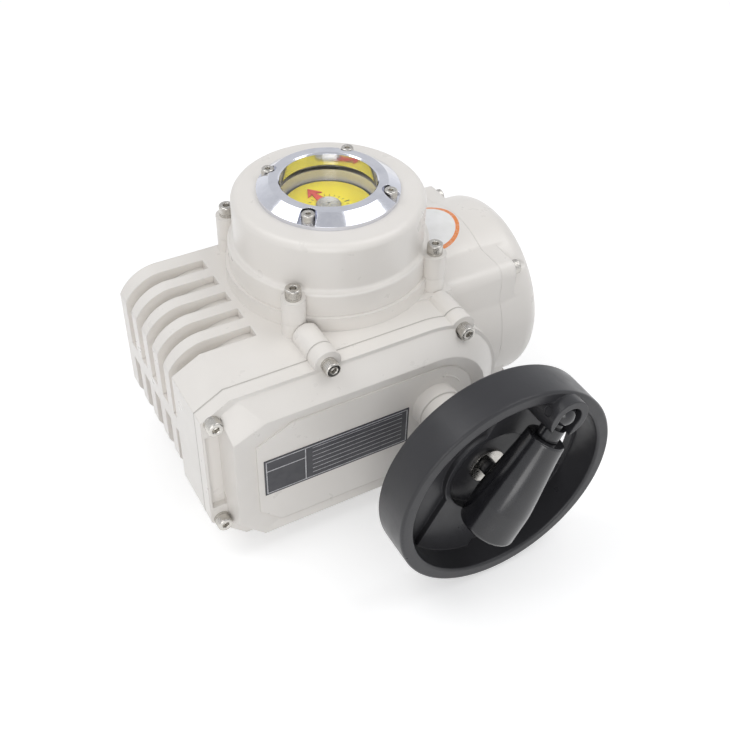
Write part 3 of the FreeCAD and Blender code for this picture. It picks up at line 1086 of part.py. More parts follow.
def make_handwheel():
    """The handwheel, its shaft, and the handle that folds into it."""
    front, back, edge = S.rim_front, S.rim_front - S.rim_width, S.rim_edge
    body = turned("handwheel_casting", [
        (S.rim_inner, -(front - edge), edge), (S.rim_inner + edge, -front), (S.rim_radius - edge, -front, edge),
        (S.rim_radius, -(front - edge)), (S.rim_radius, -(back + edge), edge), (S.rim_radius - edge, -back),
        (S.rim_inner + edge, -back, edge), (S.rim_inner, -(back + edge))], "XY_Plane")
    wide = S.spoke_half
    reach = S.rim_inner + 2
    add(body, rectangle(body, "spokes", "XZ_Plane", -reach, -wide, reach, wide, S.spoke_back),
        S.spoke_front - S.spoke_back)
    add(body, ring(body, "web", "XZ_Plane", 0, 0, [reach], S.spoke_back), S.web_thickness)
    for side in (1, -1):
        cut(body, wheel_window(body, side), S.web_thickness, along=True)
    add(body, ring(body, "hub_disc", "XZ_Plane", 0, 0, [S.hub_recess_radius + 3], S.spoke_back),
        S.spoke_front - S.spoke_back)
    add(body, ring(body, "hub", "XZ_Plane", 0, 0, [S.hub_radius], S.hub_back), S.spoke_back - S.hub_back + 1)
    add(body, ring(body, "handle_boss", "XZ_Plane", HANDLE_CIRCLE, 0, [S.handle_boss_radius], S.spoke_back),
        S.handle_boss_front - S.spoke_back)
    cut(body, ring(body, "hub_recess", "XZ_Plane", 0, 0, [S.hub_recess_radius], S.spoke_front),
        S.spoke_front - S.hub_recess_floor)
    cut(body, ring(body, "wheel_bore", "XZ_Plane", 0, 0, [S.shaft_radius], S.hub_back),
        S.hub_recess_floor - S.hub_back, along=True)
    depth = S.handle_boss_front - S.handle_bore_floor
    cut(body, ring(body, "pivot_bore", "XZ_Plane", HANDLE_CIRCLE, 0, [S.handle_bore], S.handle_boss_front), depth)
    slot = S.handle_slot / 2
    cut(body, rectangle(body, "pivot_slot", "XZ_Plane", HANDLE_CIRCLE - S.handle_boss_radius - 3, -slot,
                        HANDLE_CIRCLE, slot, S.handle_boss_front), depth)
    pin_hole = ring(body, "pin_hole", "XY_Plane", HANDLE_CIRCLE, -S.handle_pin_y, [S.handle_pin_radius],
                    -(S.handle_boss_radius + 1))
    cut(body, pin_hole, (S.handle_boss_radius + 1) * 2, along=True)
    place(body, S.shaft_x, 0, S.case_mid, (0, 1, 0), -S.handle_angle)
    subpart(body, "handwheel")
    radius = S.shaft_radius
    low, high = S.case_floor - 10.5, S.hub_recess_floor
    shaft = turned("wheel_spindle", [(0, low), (radius - 0.5, low), (radius, low + 0.5), (radius, high), (0, high)])
    cut(shaft, ring(shaft, "end_thread", "XY_Plane", 0, 0, [S.cap_radius + S.screw_clearance], high), 16)
    place(shaft, S.shaft_x, 0, S.case_mid, *FRONTWARD)
    subpart(shaft, "handwheel_shaft")
    disc = tube("hub_disc_washer", S.cap_radius + 0.2, S.hub_washer_radius, 0, 1.5)
    place(disc, S.shaft_x, -S.hub_recess_floor, S.case_mid, *FRONTWARD)
    subpart(disc, "hub_washer")
    bolt = cap_screw("hub_bolt", S.cap_radius, S.cap_head_radius, 3, S.cap_socket, 14)
    place(bolt, S.shaft_x, -(S.hub_recess_floor + 1.5), S.case_mid, *FRONTWARD)
    subpart(bolt, "hub_screw")


def make_handle():
    """Pin, spindle and grip. The spindle's own frame has its ball at the origin and the grip along X."""
    angle = math.radians(S.handle_angle.value)
    x = S.shaft_x + HANDLE_CIRCLE * math.cos(angle)
    z = S.case_mid + HANDLE_CIRCLE * math.sin(angle)
    toward_hub = ((0, 1, 0), 180 - S.handle_angle)
    reach = S.handle_boss_radius - 0.4
    pin = turned("pivot_pin", [(0, -reach), (S.handle_pin_radius, -reach), (S.handle_pin_radius, reach), (0, reach)])
    place(pin, x, -S.handle_pin_y, z, *toward_hub)
    subpart(pin, "handle_pin")
    ball, rod = S.handle_ball, S.spindle_radius
    waist = math.sqrt(ball.value ** 2 - rod.value ** 2)
    tail = S.grip_end - 8
    spindle = new_body("handle_rod")
    profile = outline(spindle, "handle_rod_profile", "XY_Plane", [
        (-ball, 0, -ball), (waist, rod), (S.collar_start, rod), (S.collar_start, S.collar_size),
        (S.collar_end, S.collar_size), (S.collar_end, rod), (tail, rod), (tail, 0)])
    turn(spindle, profile, "H_Axis")
    cut(spindle, ring(spindle, "ball_hole", "XY_Plane", 0, 0, [S.handle_pin_radius + S.running_clearance],
                      -(ball + 1)), (ball + 1) * 2, along=True)
    place(spindle, x, -S.handle_pin_y, z, *toward_hub)
    subpart(spindle, "handle_spindle")
    start, end, narrow, wide = S.grip_start, S.grip_end, S.grip_narrow, S.grip_wide
    bore, round_end = rod + S.running_clearance, S.grip_round
    grip = new_body("grip_handle")
    shape = outline(grip, "grip_profile", "XY_Plane", [
        (start, bore), (start, narrow - 1, -1), (start + 1, narrow), (end - 18, wide),
        (end - round_end, wide, -round_end), (end, wide - round_end), (end, 0), (tail + 0.5, 0),
        (tail + 0.5, bore)])
    turn(grip, shape, "H_Axis")
    place(grip, x, -S.handle_pin_y, z, *toward_hub)
    subpart(grip, "grip")


def make_labels():
    """The bare plate on the front and the round plate that follows the top of the drum."""
    plate = new_body("front_label")
    add(plate, rectangle(plate, "front_label_outline", "XZ_Plane", -S.label_left, S.label_low, S.label_right,
                         S.label_high, COVER_PANEL), S.label_thickness)
    subpart(plate, "label_plate")
    skin = new_body("drum_skin")
    add(skin, ring(skin, "drum_skin_profile", "YZ_Plane", S.drum_y, S.drum_z,
                   [S.drum_radius, S.drum_radius + S.disc_label_thickness], S.drum_start), 60)
    punch = cylinder("label_punch", S.disc_label_radius, 40, S.disc_label_x, S.disc_label_y, S.drum_z + 30)
    disc = doc.addObject("Part::Common", "round_label")
    disc.Base = skin
    disc.Tool = punch
    collar = cylinder("label_collar_cut", S.collar_radius + S.face_clearance, 40, 0, 0, S.drum_z + 30)
    subpart(less("trimmed_label", disc, collar), "rating_disc")


make_housing()
make_gear_cover()
make_dome()
make_bezel()
make_terminal_cover()
make_window()
make_seals()
make_fasteners()
make_output()
make_stops()
make_worm()
make_spurs()
make_motor()
make_plate()
make_bushes()
make_glands()
make_handwheel()
make_handle()
make_labels()

doc.recompute()
faults = [thing.Name for thing in doc.Objects if set(thing.State) & {"Invalid", "Error"}]
faults += [piece.Label for piece in SUBPARTS if piece.Shape.isNull() or not piece.Shape.isValid()]
if faults:
    raise RuntimeError("unsound: " + ", ".join(faults))

os.makedirs("parts", exist_ok=True)
for piece in SUBPARTS:
    piece.Shape.exportStep("parts/%s.step" % piece.Label)
print(len(SUBPARTS), "pieces written")
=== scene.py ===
"""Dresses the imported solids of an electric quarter-turn valve actuator.

The castings, covers and fittings keep the shape of their solids and get smooth normals and a worked-out
finish. Screw heads, grip, window glass and turn arrow are new surfaces computed with numpy. Lengths are in
metres in the model's frame: +Z up along the output axis, -Y to the front.
"""
from __future__ import annotations

import json
import logging
import math
from dataclasses import dataclass, field
from enum import Enum

import bpy
import numpy as np
from mathutils import Matrix, Vector

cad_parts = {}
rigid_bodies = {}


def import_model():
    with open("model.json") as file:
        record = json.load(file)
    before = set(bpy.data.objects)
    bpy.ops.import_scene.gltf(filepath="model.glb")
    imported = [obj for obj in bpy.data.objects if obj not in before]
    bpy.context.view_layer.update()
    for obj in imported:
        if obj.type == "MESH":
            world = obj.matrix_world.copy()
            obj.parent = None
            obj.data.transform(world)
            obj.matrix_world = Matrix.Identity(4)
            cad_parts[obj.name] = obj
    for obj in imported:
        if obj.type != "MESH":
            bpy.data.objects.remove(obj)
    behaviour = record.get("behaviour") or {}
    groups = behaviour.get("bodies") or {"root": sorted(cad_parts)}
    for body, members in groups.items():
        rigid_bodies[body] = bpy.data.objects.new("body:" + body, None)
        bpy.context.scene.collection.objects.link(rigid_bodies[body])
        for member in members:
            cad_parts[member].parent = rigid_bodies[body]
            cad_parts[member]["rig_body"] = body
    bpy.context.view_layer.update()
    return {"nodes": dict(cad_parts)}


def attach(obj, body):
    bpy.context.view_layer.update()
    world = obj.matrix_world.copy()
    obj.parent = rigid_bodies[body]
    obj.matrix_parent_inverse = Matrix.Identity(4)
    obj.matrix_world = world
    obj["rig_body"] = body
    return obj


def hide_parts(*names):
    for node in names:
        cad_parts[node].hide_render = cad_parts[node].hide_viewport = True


LOG = logging.getLogger("actuator")
MM = 0.001
Triple = tuple[float, float, float]


class Body(Enum):
    """The bodies of the mechanism that new surfaces ride on."""

    HOUSING = "housing"
    GRIP = "grip"


class Slot(Enum):
    """The record's material slots."""

    IVORY = "ivory_paint"
    CHROME = "chrome"
    STAINLESS = "stainless_steel"
    STEEL = "machined_steel"
    BRONZE = "bronze"
    RUBBER = "rubber"
    FIBRE = "fibre_gasket"
    GLASS = "glass"
    BLACK_PAINT = "black_paint"
    GLOSS_BLACK = "gloss_black"
    DIAL = "dial_yellow"
    POINTER = "pointer_red"
    LABEL_DARK = "label_dark"
    LABEL_WHITE = "label_white"
    NICKEL = "nickel_brass"
    BOARD = "board_green"
    BLOCK = "block_grey"
    PLATE = "plate_aluminium"


class Axis(Enum):
    """Directions that a turned or brushed surface can run along, as the stretch of its grain."""

    ROUND = (1.0, 1.0, 1.0)
    ALONG_X = (0.06, 1.0, 1.0)
    ALONG_Y = (1.0, 0.06, 1.0)
    ALONG_Z = (1.0, 1.0, 0.06)


class Sheet:
    """Lays out the nodes of one material around a Principled shader.

    Every pattern reads Object coordinates, so it stays on the piece from any side.
    """

    def __init__(self, name: str) -> None:
        """Starts an empty material with its shader and output.

        Args:
            name: the material's name.
        """
        self.material = bpy.data.materials.new(name)
        self.material.use_nodes = True
        self.tree = self.material.node_tree
        self.tree.nodes.clear()
        self.output = self.node("ShaderNodeOutputMaterial")
        self.shader = self.node("ShaderNodeBsdfPrincipled")
        self.link(self.shader.outputs["BSDF"], self.output.inputs["Surface"])
        self.place = self.node("ShaderNodeTexCoord").outputs["Object"]
        self._parts: tuple = ()

    def node(self, kind: str, **settings: object) -> bpy.types.Node:
        """Adds a node and sets its plain properties; returns it."""
        made = self.tree.nodes.new(kind)
        for key, value in settings.items():
            setattr(made, key, value)
        return made

    def link(self, source: bpy.types.NodeSocket, target: bpy.types.NodeSocket) -> None:
        """Joins an output to an input."""
        self.tree.links.new(source, target)

    def set(self, **values: object) -> None:
        """Writes constants on the shader's own sockets; a name's underscores stand for spaces."""
        for key, value in values.items():
            if isinstance(value, tuple) and len(value) == 3:
                value = (*value, 1.0)
            self.shader.inputs[key.replace("_", " ")].default_value = value

    def feed(self, name: str, source: bpy.types.NodeSocket) -> None:
        """Joins a worked-out value to one of the shader's sockets."""
        self.link(source, self.shader.inputs[name])

    def part(self, which: int) -> bpy.types.NodeSocket:
        """One coordinate, 0 to 2 for X, Y and Z."""
        if not self._parts:
            split = self.node("ShaderNodeSeparateXYZ")
            self.link(self.place, split.inputs[0])
            self._parts = tuple(split.outputs)
        return self._parts[which]

    def math(self, operation: str, *values: object) -> bpy.types.NodeSocket:
        """A Math node over numbers and sockets."""
        made = self.node("ShaderNodeMath", operation=operation)
        for socket, value in zip(made.inputs, values):
            if isinstance(value, (int, float)):
                socket.default_value = value
            else:
                self.link(value, socket)
        return made.outputs[0]

    def noise(self, scale: float, detail: float = 2.0, rough: float = 0.5,
              stretch: Triple = Axis.ROUND.value) -> bpy.types.NodeSocket:
        """Noise of about 1/scale metres, drawn out along an axis where its stretch is small."""
        mapping = self.node("ShaderNodeMapping")
        mapping.inputs["Scale"].default_value = stretch
        made = self.node("ShaderNodeTexNoise")
        made.inputs["Scale"].default_value = scale
        made.inputs["Detail"].default_value = detail
        made.inputs["Roughness"].default_value = rough
        self.link(self.place, mapping.inputs["Vector"])
        self.link(mapping.outputs[0], made.inputs["Vector"])
        return made.outputs["Fac"]

    def spread(self, value: bpy.types.NodeSocket, low: float, high: float, start: float = 0.0,
               end: float = 1.0) -> bpy.types.NodeSocket:
        """Maps low...high to start...end and holds it there outside that range."""
        made = self.node("ShaderNodeMapRange")
        for name, number in (("From Min", low), ("From Max", high), ("To Min", start), ("To Max", end)):
            made.inputs[name].default_value = number
        self.link(value, made.inputs["Value"])
        return made.outputs["Result"]

    def mix(self, share: bpy.types.NodeSocket, first: object, second: object) -> bpy.types.NodeSocket:
        """Blends two colours, or the outputs of other blends, by a share."""
        made = self.node("ShaderNodeMix", data_type="RGBA")
        self.link(share, made.inputs[0])
        for socket, value in ((made.inputs[6], first), (made.inputs[7], second)):
            if isinstance(value, tuple):
                socket.default_value = (*value, 1.0)
            else:
                self.link(value, socket)
        return made.outputs[2]

    def between(self, value: bpy.types.NodeSocket, low: float, high: float) -> bpy.types.NodeSocket:
        """One where the value lies from low to high, else zero."""
        above, below = self.math("GREATER_THAN", value, low), self.math("LESS_THAN", value, high)
        return self.math("MULTIPLY", above, below)

    def radius(self, x: float, y: float, first: int = 0, second: int = 1) -> bpy.types.NodeSocket:
        """Distance from a line along the third axis, through the given place on the other two."""
        a = self.math("SUBTRACT", self.part(first), x)
        b = self.math("SUBTRACT", self.part(second), y)
        return self.math("SQRT", self.math("ADD", self.math("MULTIPLY", a, a), self.math("MULTIPLY", b, b)))

    def relief(self, bumps: list[tuple[bpy.types.NodeSocket, float, float]], rounding: float = 0.0) -> None:
        """Stacks bumps on the shader's normal, over edges that are rounded when a radius is given.

        Args:
            bumps: height, depth in metres and strength of each layer.
            rounding: radius of the softened edges in metres, or 0.
        """
        normal = None
        if rounding:
            bevel = self.node("ShaderNodeBevel", samples=6)
            bevel.inputs["Radius"].default_value = rounding
            normal = bevel.outputs[0]
        for height, depth, strength in bumps:
            bump = self.node("ShaderNodeBump")
            bump.inputs["Distance"].default_value = depth
            bump.inputs["Strength"].default_value = strength
            self.link(height, bump.inputs["Height"])
            if normal is not None:
                self.link(normal, bump.inputs["Normal"])
            normal = bump.outputs[0]
        if normal is not None:
            self.feed("Normal", normal)


@dataclass(frozen=True)
class Finish:
    """A surface finish: its name and the record's slot. Subclasses lay out the material."""

    name: str
    slot: Slot

    def lay(self) -> bpy.types.Material:
        """Makes the material."""
        raise NotImplementedError


@dataclass(frozen=True)
class Enamel(Finish):
    """Sprayed enamel on a die casting: faint orange peel over the waviness of the casting."""

    tone: Triple
    shade: Triple
    rough: tuple[float, float]
    peel: float = 0.35
    coat: float = 0.0
    edge: float = 0.8 * MM
    shine: float = 0.5

    def lay(self) -> bpy.types.Material:
        """Makes the material: cloudy tone, uneven gloss, peel, casting waves and fine specks."""
        sheet = Sheet(self.name)
        clouds = sheet.spread(sheet.noise(26, 3), 0.32, 0.70)
        specks = sheet.spread(sheet.noise(1500, 1), 0.72, 0.84, 0.0, 0.12)
        sheet.feed("Base Color", sheet.mix(specks, sheet.mix(clouds, self.tone, self.shade), self.shade))
        sheet.feed("Roughness", sheet.spread(sheet.noise(75, 4, 0.6), 0.3, 0.7, *self.rough))
        sheet.set(Specular_IOR_Level=self.shine, Coat_Weight=self.coat, Coat_Roughness=0.12)
        sheet.relief([(sheet.noise(85, 2), 0.16 * MM, 0.35), (sheet.noise(620, 2, 0.4), 0.05 * MM, self.peel),
                      (sheet.noise(2600, 1), 0.015 * MM, 0.25)], self.edge)
        return sheet.material


@dataclass(frozen=True)
class Metal(Finish):
    """Bare or plated metal with a grain drawn along its tool marks."""

    light: Triple
    dark: Triple
    rough: tuple[float, float]
    grain: Axis = Axis.ROUND
    ripple: float = 0.15
    edge: float = 0.25 * MM

    def lay(self) -> bpy.types.Material:
        """Makes the material: handled patches, brushed grain and a soft ripple."""
        sheet = Sheet(self.name)
        hairline = sheet.noise(1900, 2, 0.5, self.grain.value)
        patches = sheet.noise(120, 4, 0.62)
        sheet.feed("Base Color", sheet.mix(sheet.spread(patches, 0.35, 0.72), self.light, self.dark))
        sheet.feed("Roughness", sheet.spread(sheet.math("ADD", sheet.math("MULTIPLY", hairline, 0.5),
                                                        sheet.math("MULTIPLY", patches, 0.5)),
                                             0.35, 0.65, *self.rough))
        sheet.set(Metallic=1.0)
        sheet.relief([(sheet.noise(150, 2), 0.05 * MM, self.ripple), (hairline, 0.01 * MM, self.ripple)],
                     self.edge)
        return sheet.material


@dataclass(frozen=True)
class Moulding(Finish):
    """Moulded or pressed plastic, rubber or fibre with a fine skin."""

    tone: Triple
    shade: Triple
    rough: tuple[float, float]
    grain: float = 900.0
    depth: float = 0.02 * MM
    coat: float = 0.0
    edge: float = 0.3 * MM

    def lay(self) -> bpy.types.Material:
        """Makes the material: mottled tone, worn gloss and the grain of the tool."""
        sheet = Sheet(self.name)
        mottle = sheet.noise(140, 4, 0.6)
        sheet.feed("Base Color", sheet.mix(sheet.spread(mottle, 0.35, 0.7), self.tone, self.shade))
        sheet.feed("Roughness", sheet.spread(sheet.noise(60, 5, 0.65), 0.32, 0.68, *self.rough))
        sheet.set(Coat_Weight=self.coat, Coat_Roughness=0.08)
        sheet.relief([(sheet.noise(self.grain, 2), self.depth, 0.4)], self.edge)
        return sheet.material


@dataclass(frozen=True)
class WindowGlass(Finish):
    """Clear toughened glass that lets lamp light through to the dial."""

    tint: Triple = (0.985, 0.995, 0.99)

    def lay(self) -> bpy.types.Material:
        """Makes the material: clear glass with faint waves, open to shadow rays."""
        sheet = Sheet(self.name)
        sheet.set(Base_Color=self.tint, Transmission_Weight=1.0, IOR=1.46)
        sheet.feed("Roughness", sheet.spread(sheet.noise(70, 4), 0.45, 0.75, 0.0, 0.02))
        sheet.relief([(sheet.noise(40, 1), 0.02 * MM, 0.08)])
        clear = sheet.node("ShaderNodeBsdfTransparent")
        blend = sheet.node("ShaderNodeMixShader")
        path = sheet.node("ShaderNodeLightPath")
        sheet.link(path.outputs["Is Shadow Ray"], blend.inputs[0])
        sheet.link(sheet.shader.outputs["BSDF"], blend.inputs[1])
        sheet.link(clear.outputs[0], blend.inputs[2])
        sheet.link(blend.outputs[0], sheet.output.inputs["Surface"])
        return sheet.material


@dataclass(frozen=True)
class DialPrint(Finish):
    """A yellow printed dial with plain strokes at the quarters and a ring of short ones about the hub."""

    tone: Triple = (0.990, 0.830, 0.006)
    shade: Triple = (0.960, 0.760, 0.005)
    ink: Triple = (0.05, 0.04, 0.02)
    outer: float = 12.6 * MM
    inner: float = 9.6 * MM
    tick_step: float = 15.0
    tick_half: float = 0.2 * MM
    tick_short_by: float = 1.4 * MM
    quarter_step: float = 90.0
    quarter_half: float = 0.4 * MM

    def lay(self) -> bpy.types.Material:
        """Makes the material: short ticks at one step of the turn, longer and thicker ones each quarter."""
        sheet = Sheet(self.name)
        reach = sheet.radius(0.0, 0.0)
        turn = sheet.math("DEGREES", sheet.math("ARCTAN2", sheet.part(1), sheet.part(0)))
        marks = sheet.math("MULTIPLY", self._ticks(sheet, turn, reach, self.tick_step, self.tick_half),
                           sheet.between(reach, self.inner, self.outer - self.tick_short_by))
        longer = self._ticks(sheet, turn, reach, self.quarter_step, self.quarter_half)
        quarters = sheet.math("MULTIPLY", longer, sheet.between(reach, self.inner, self.outer))
        ink = sheet.math("MAXIMUM", marks, quarters)
        ground = sheet.mix(sheet.spread(sheet.noise(90, 3), 0.35, 0.7), self.tone, self.shade)
        sheet.feed("Base Color", sheet.mix(ink, ground, self.ink))
        sheet.feed("Roughness", sheet.spread(sheet.noise(400, 2), 0.3, 0.7, 0.32, 0.45))
        sheet.relief([(sheet.noise(1200, 2), 0.01 * MM, 0.2)], 0.1 * MM)
        return sheet.material

    @staticmethod
    def _ticks(sheet: Sheet, turn: bpy.types.NodeSocket, reach: bpy.types.NodeSocket, step: float,
               half: float) -> bpy.types.NodeSocket:
        """One within half a tick's width of every step of the turn.

        The angle is folded to the nearest multiple of the step and its arc length compared with the width.
        """
        part = sheet.math("ABSOLUTE", sheet.math("SUBTRACT", sheet.math("FRACT", sheet.math(
            "ADD", sheet.math("DIVIDE", turn, step), 8.5)), 0.5))
        arc = sheet.math("MULTIPLY", sheet.math("MULTIPLY", part, math.radians(step)), reach)
        return sheet.math("LESS_THAN", arc, half)


@dataclass(frozen=True)
class RatingPlate(Finish):
    """A dark plate with a pale frame, a dividing line and blank ruled rows."""

    left: float = -80.1 * MM
    right: float = 5.6 * MM
    low: float = 43.7 * MM
    high: float = 69.2 * MM
    inset: float = 1.2 * MM
    line: float = 0.28 * MM
    divider: float = 23.5 * MM
    heading: float = 8 * MM
    row_count: int = 7
    row_pitch: float = 3.05 * MM
    row_rule: float = 0.11
    row_margins: Triple = (4 * MM, 3 * MM, 3 * MM)
    ground: Triple = (0.040, 0.040, 0.048)
    shade: Triple = (0.056, 0.056, 0.064)
    print_tone: Triple = (0.62, 0.62, 0.64)

    def lay(self) -> bpy.types.Material:
        """Makes the material: the lines are bands of X and Z kept inside the frame.

        The rows' margins are their distances from the divider, the frame's right side and its foot.
        """
        sheet = Sheet(self.name)
        x, z = sheet.part(0), sheet.part(2)
        inset = self.inset
        edges = (self.left + inset, self.right - inset, self.low + inset, self.high - inset)
        inside = sheet.math("MULTIPLY", sheet.between(x, edges[0] - self.line, edges[1] + self.line),
                            sheet.between(z, edges[2] - self.line, edges[3] + self.line))
        divider = self.left + self.divider
        heading = self.high - self.heading
        margin_left, margin_right, margin_low = self.row_margins
        lines = self._line(sheet, x, edges[0])
        for value, place in ((x, edges[1]), (z, edges[2]), (z, edges[3]), (x, divider)):
            lines = sheet.math("MAXIMUM", lines, self._line(sheet, value, place))
        head = sheet.math("MULTIPLY", self._line(sheet, z, heading), sheet.math("LESS_THAN", x, divider))
        rows = sheet.math("MULTIPLY", self._rows(sheet, z, edges[2] + margin_low),
                          sheet.between(x, divider + margin_left, edges[1] - margin_right))
        drawn = sheet.math("MAXIMUM", sheet.math("MAXIMUM", lines, head), rows)
        scuff = sheet.spread(sheet.noise(420, 4, 0.7), 0.35, 0.62, 0.55, 1.0)
        ink = sheet.math("MULTIPLY", sheet.math("MULTIPLY", drawn, inside), scuff)
        ground = sheet.mix(sheet.spread(sheet.noise(200, 3), 0.35, 0.7), self.ground, self.shade)
        sheet.feed("Base Color", sheet.mix(ink, ground, self.print_tone))
        sheet.feed("Roughness", sheet.spread(sheet.noise(90, 4), 0.3, 0.7, 0.30, 0.44))
        sheet.relief([(sheet.noise(900, 2), 0.01 * MM, 0.25)], 0.1 * MM)
        return sheet.material

    def _line(self, sheet: Sheet, value: bpy.types.NodeSocket, place: float) -> bpy.types.NodeSocket:
        """One within half a line's width of a place."""
        return sheet.between(value, place - self.line, place + self.line)

    def _rows(self, sheet: Sheet, value: bpy.types.NodeSocket, start: float) -> bpy.types.NodeSocket:
        """Thin rules at an even pitch: the fraction of a row, compared with the rule's share of it."""
        row = sheet.math("DIVIDE", sheet.math("SUBTRACT", value, start), self.row_pitch)
        rule = sheet.between(sheet.math("FRACT", row), 0.0, self.row_rule)
        return sheet.math("MULTIPLY", rule, sheet.between(row, -0.2, self.row_count - 0.8))


@dataclass(frozen=True)
class RingedDisc(Finish):
    """A white round plate with an orange ring at its edge."""

    x: float = 64.4 * MM
    y: float = 8.5 * MM
    ring: tuple[float, float] = (20.9 * MM, 23.3 * MM)
    paper: Triple = (0.90, 0.90, 0.90)
    shade: Triple = (0.83, 0.83, 0.82)
    ring_tone: Triple = (0.82, 0.26, 0.07)

    def lay(self) -> bpy.types.Material:
        """Makes the material: the ring is a band of distance from the disc's centre."""
        sheet = Sheet(self.name)
        band = sheet.between(sheet.radius(self.x, self.y), *self.ring)
        worn = sheet.math("MULTIPLY", band, sheet.spread(sheet.noise(700, 4, 0.7), 0.3, 0.5, 0.6, 1.0))
        ground = sheet.mix(sheet.spread(sheet.noise(120, 3), 0.35, 0.7), self.paper, self.shade)
        sheet.feed("Base Color", sheet.mix(worn, ground, self.ring_tone))
        sheet.feed("Roughness", sheet.spread(sheet.noise(300, 2), 0.3, 0.7, 0.34, 0.5))
        sheet.relief([(sheet.noise(700, 2), 0.02 * MM, 0.2)])
        return sheet.material


IVORY = Enamel("ivory_enamel", Slot.IVORY, (0.826, 0.796, 0.757), (0.796, 0.765, 0.724), (0.26, 0.40),
               coat=0.15)
BLACK = Enamel("black_enamel", Slot.BLACK_PAINT, (0.031, 0.031, 0.034), (0.038, 0.038, 0.042), (0.27, 0.40),
               peel=0.5, edge=0.9 * MM, shine=0.4)
CHROME = Metal("bright_chrome", Slot.CHROME, (0.78, 0.79, 0.84), (0.70, 0.71, 0.77), (0.07, 0.17),
               ripple=0.25, edge=0.35 * MM)
STAINLESS = Metal("stainless_screw", Slot.STAINLESS, (0.66, 0.64, 0.60), (0.48, 0.46, 0.43), (0.16, 0.32))
STEEL = Metal("machined_steel", Slot.STEEL, (0.52, 0.53, 0.54), (0.42, 0.43, 0.45), (0.22, 0.38),
              Axis.ALONG_Z)
SHAFT_STEEL = Metal("ground_shaft", Slot.STEEL, (0.55, 0.56, 0.57), (0.45, 0.46, 0.47), (0.16, 0.30),
                    Axis.ALONG_Y)
BRONZE = Metal("cut_bronze", Slot.BRONZE, (0.70, 0.50, 0.26), (0.55, 0.36, 0.17), (0.22, 0.40))
NICKEL = Metal("nickelled_brass", Slot.NICKEL, (0.66, 0.63, 0.56), (0.52, 0.49, 0.43), (0.14, 0.28),
               Axis.ALONG_Y)
ALUMINIUM = Metal("machined_plate", Slot.PLATE, (0.72, 0.72, 0.73), (0.60, 0.60, 0.62), (0.26, 0.42),
                  Axis.ALONG_X)
RUBBER = Moulding("seal_rubber", Slot.RUBBER, (0.020, 0.020, 0.021), (0.034, 0.034, 0.036), (0.50, 0.68))
FIBRE = Moulding("pressed_fibre", Slot.FIBRE, (0.50, 0.48, 0.45), (0.58, 0.55, 0.51), (0.70, 0.88),
                 grain=1600)
GRIP_BLACK = Moulding("phenolic_black", Slot.GLOSS_BLACK, (0.014, 0.014, 0.016), (0.020, 0.020, 0.023),
                      (0.15, 0.27), grain=240, depth=0.03 * MM, coat=0.35)
RED = Moulding("pointer_red", Slot.POINTER, (0.80, 0.065, 0.035), (0.68, 0.045, 0.028), (0.30, 0.42))
BOARD = Moulding("board_lacquer", Slot.BOARD, (0.03, 0.24, 0.11), (0.05, 0.33, 0.16), (0.28, 0.4))
BLOCK = Moulding("block_grey", Slot.BLOCK, (0.33, 0.34, 0.35), (0.27, 0.28, 0.29), (0.42, 0.56))
GLASS = WindowGlass("window_glass", Slot.GLASS)
DIAL = DialPrint("dial_print", Slot.DIAL)
PLATE = RatingPlate("rating_plate", Slot.LABEL_DARK)
DISC = RingedDisc("ringed_disc", Slot.LABEL_WHITE)

# The finish of each node. Nodes that a new surface replaces are dressed by their own class.
FINISHES: dict[Finish, tuple[str, ...]] = {
    IVORY: ("main_housing", "gear_cover", "dome_cover", "terminal_cover"),
    BLACK: ("handwheel", "hub_screw", "handle_pin"),
    CHROME: ("sight_bezel",),
    STAINLESS: ("cover_washers", "bezel_washers", "earth_screw", "hub_washer", "motor_screws",
                "inner_screws", "pointer_screw", "stop_screws", "stop_nuts"),
    STEEL: ("drive_sleeve", "stop_sector", "indicator_shaft", "worm_gear", "motor_pinion", "handwheel_gear",
            "worm_bearings", "dial_posts"),
    SHAFT_STEEL: ("worm_shaft", "motor_shaft", "handwheel_shaft"),
    BRONZE: ("worm_wheel", "base_bush", "upper_bush", "shaft_bushes"),
    NICKEL: ("gland_bodies", "gland_nuts"),
    ALUMINIUM: ("upper_plate", "motor_can", "switch_bracket", "board_standoffs"),
    RUBBER: ("dome_seal", "glass_ring", "terminal_seal", "output_seal", "shaft_seal", "motor_cap"),
    FIBRE: ("case_gasket",),
    GRIP_BLACK: ("handle_spindle",),
    RED: ("pointer",),
    BOARD: ("control_board",),
    BLOCK: ("limit_switches", "limit_cams", "terminal_block"),
    DIAL: ("dial_plate",),
    PLATE: ("label_plate",),
    DISC: ("rating_disc",),
}


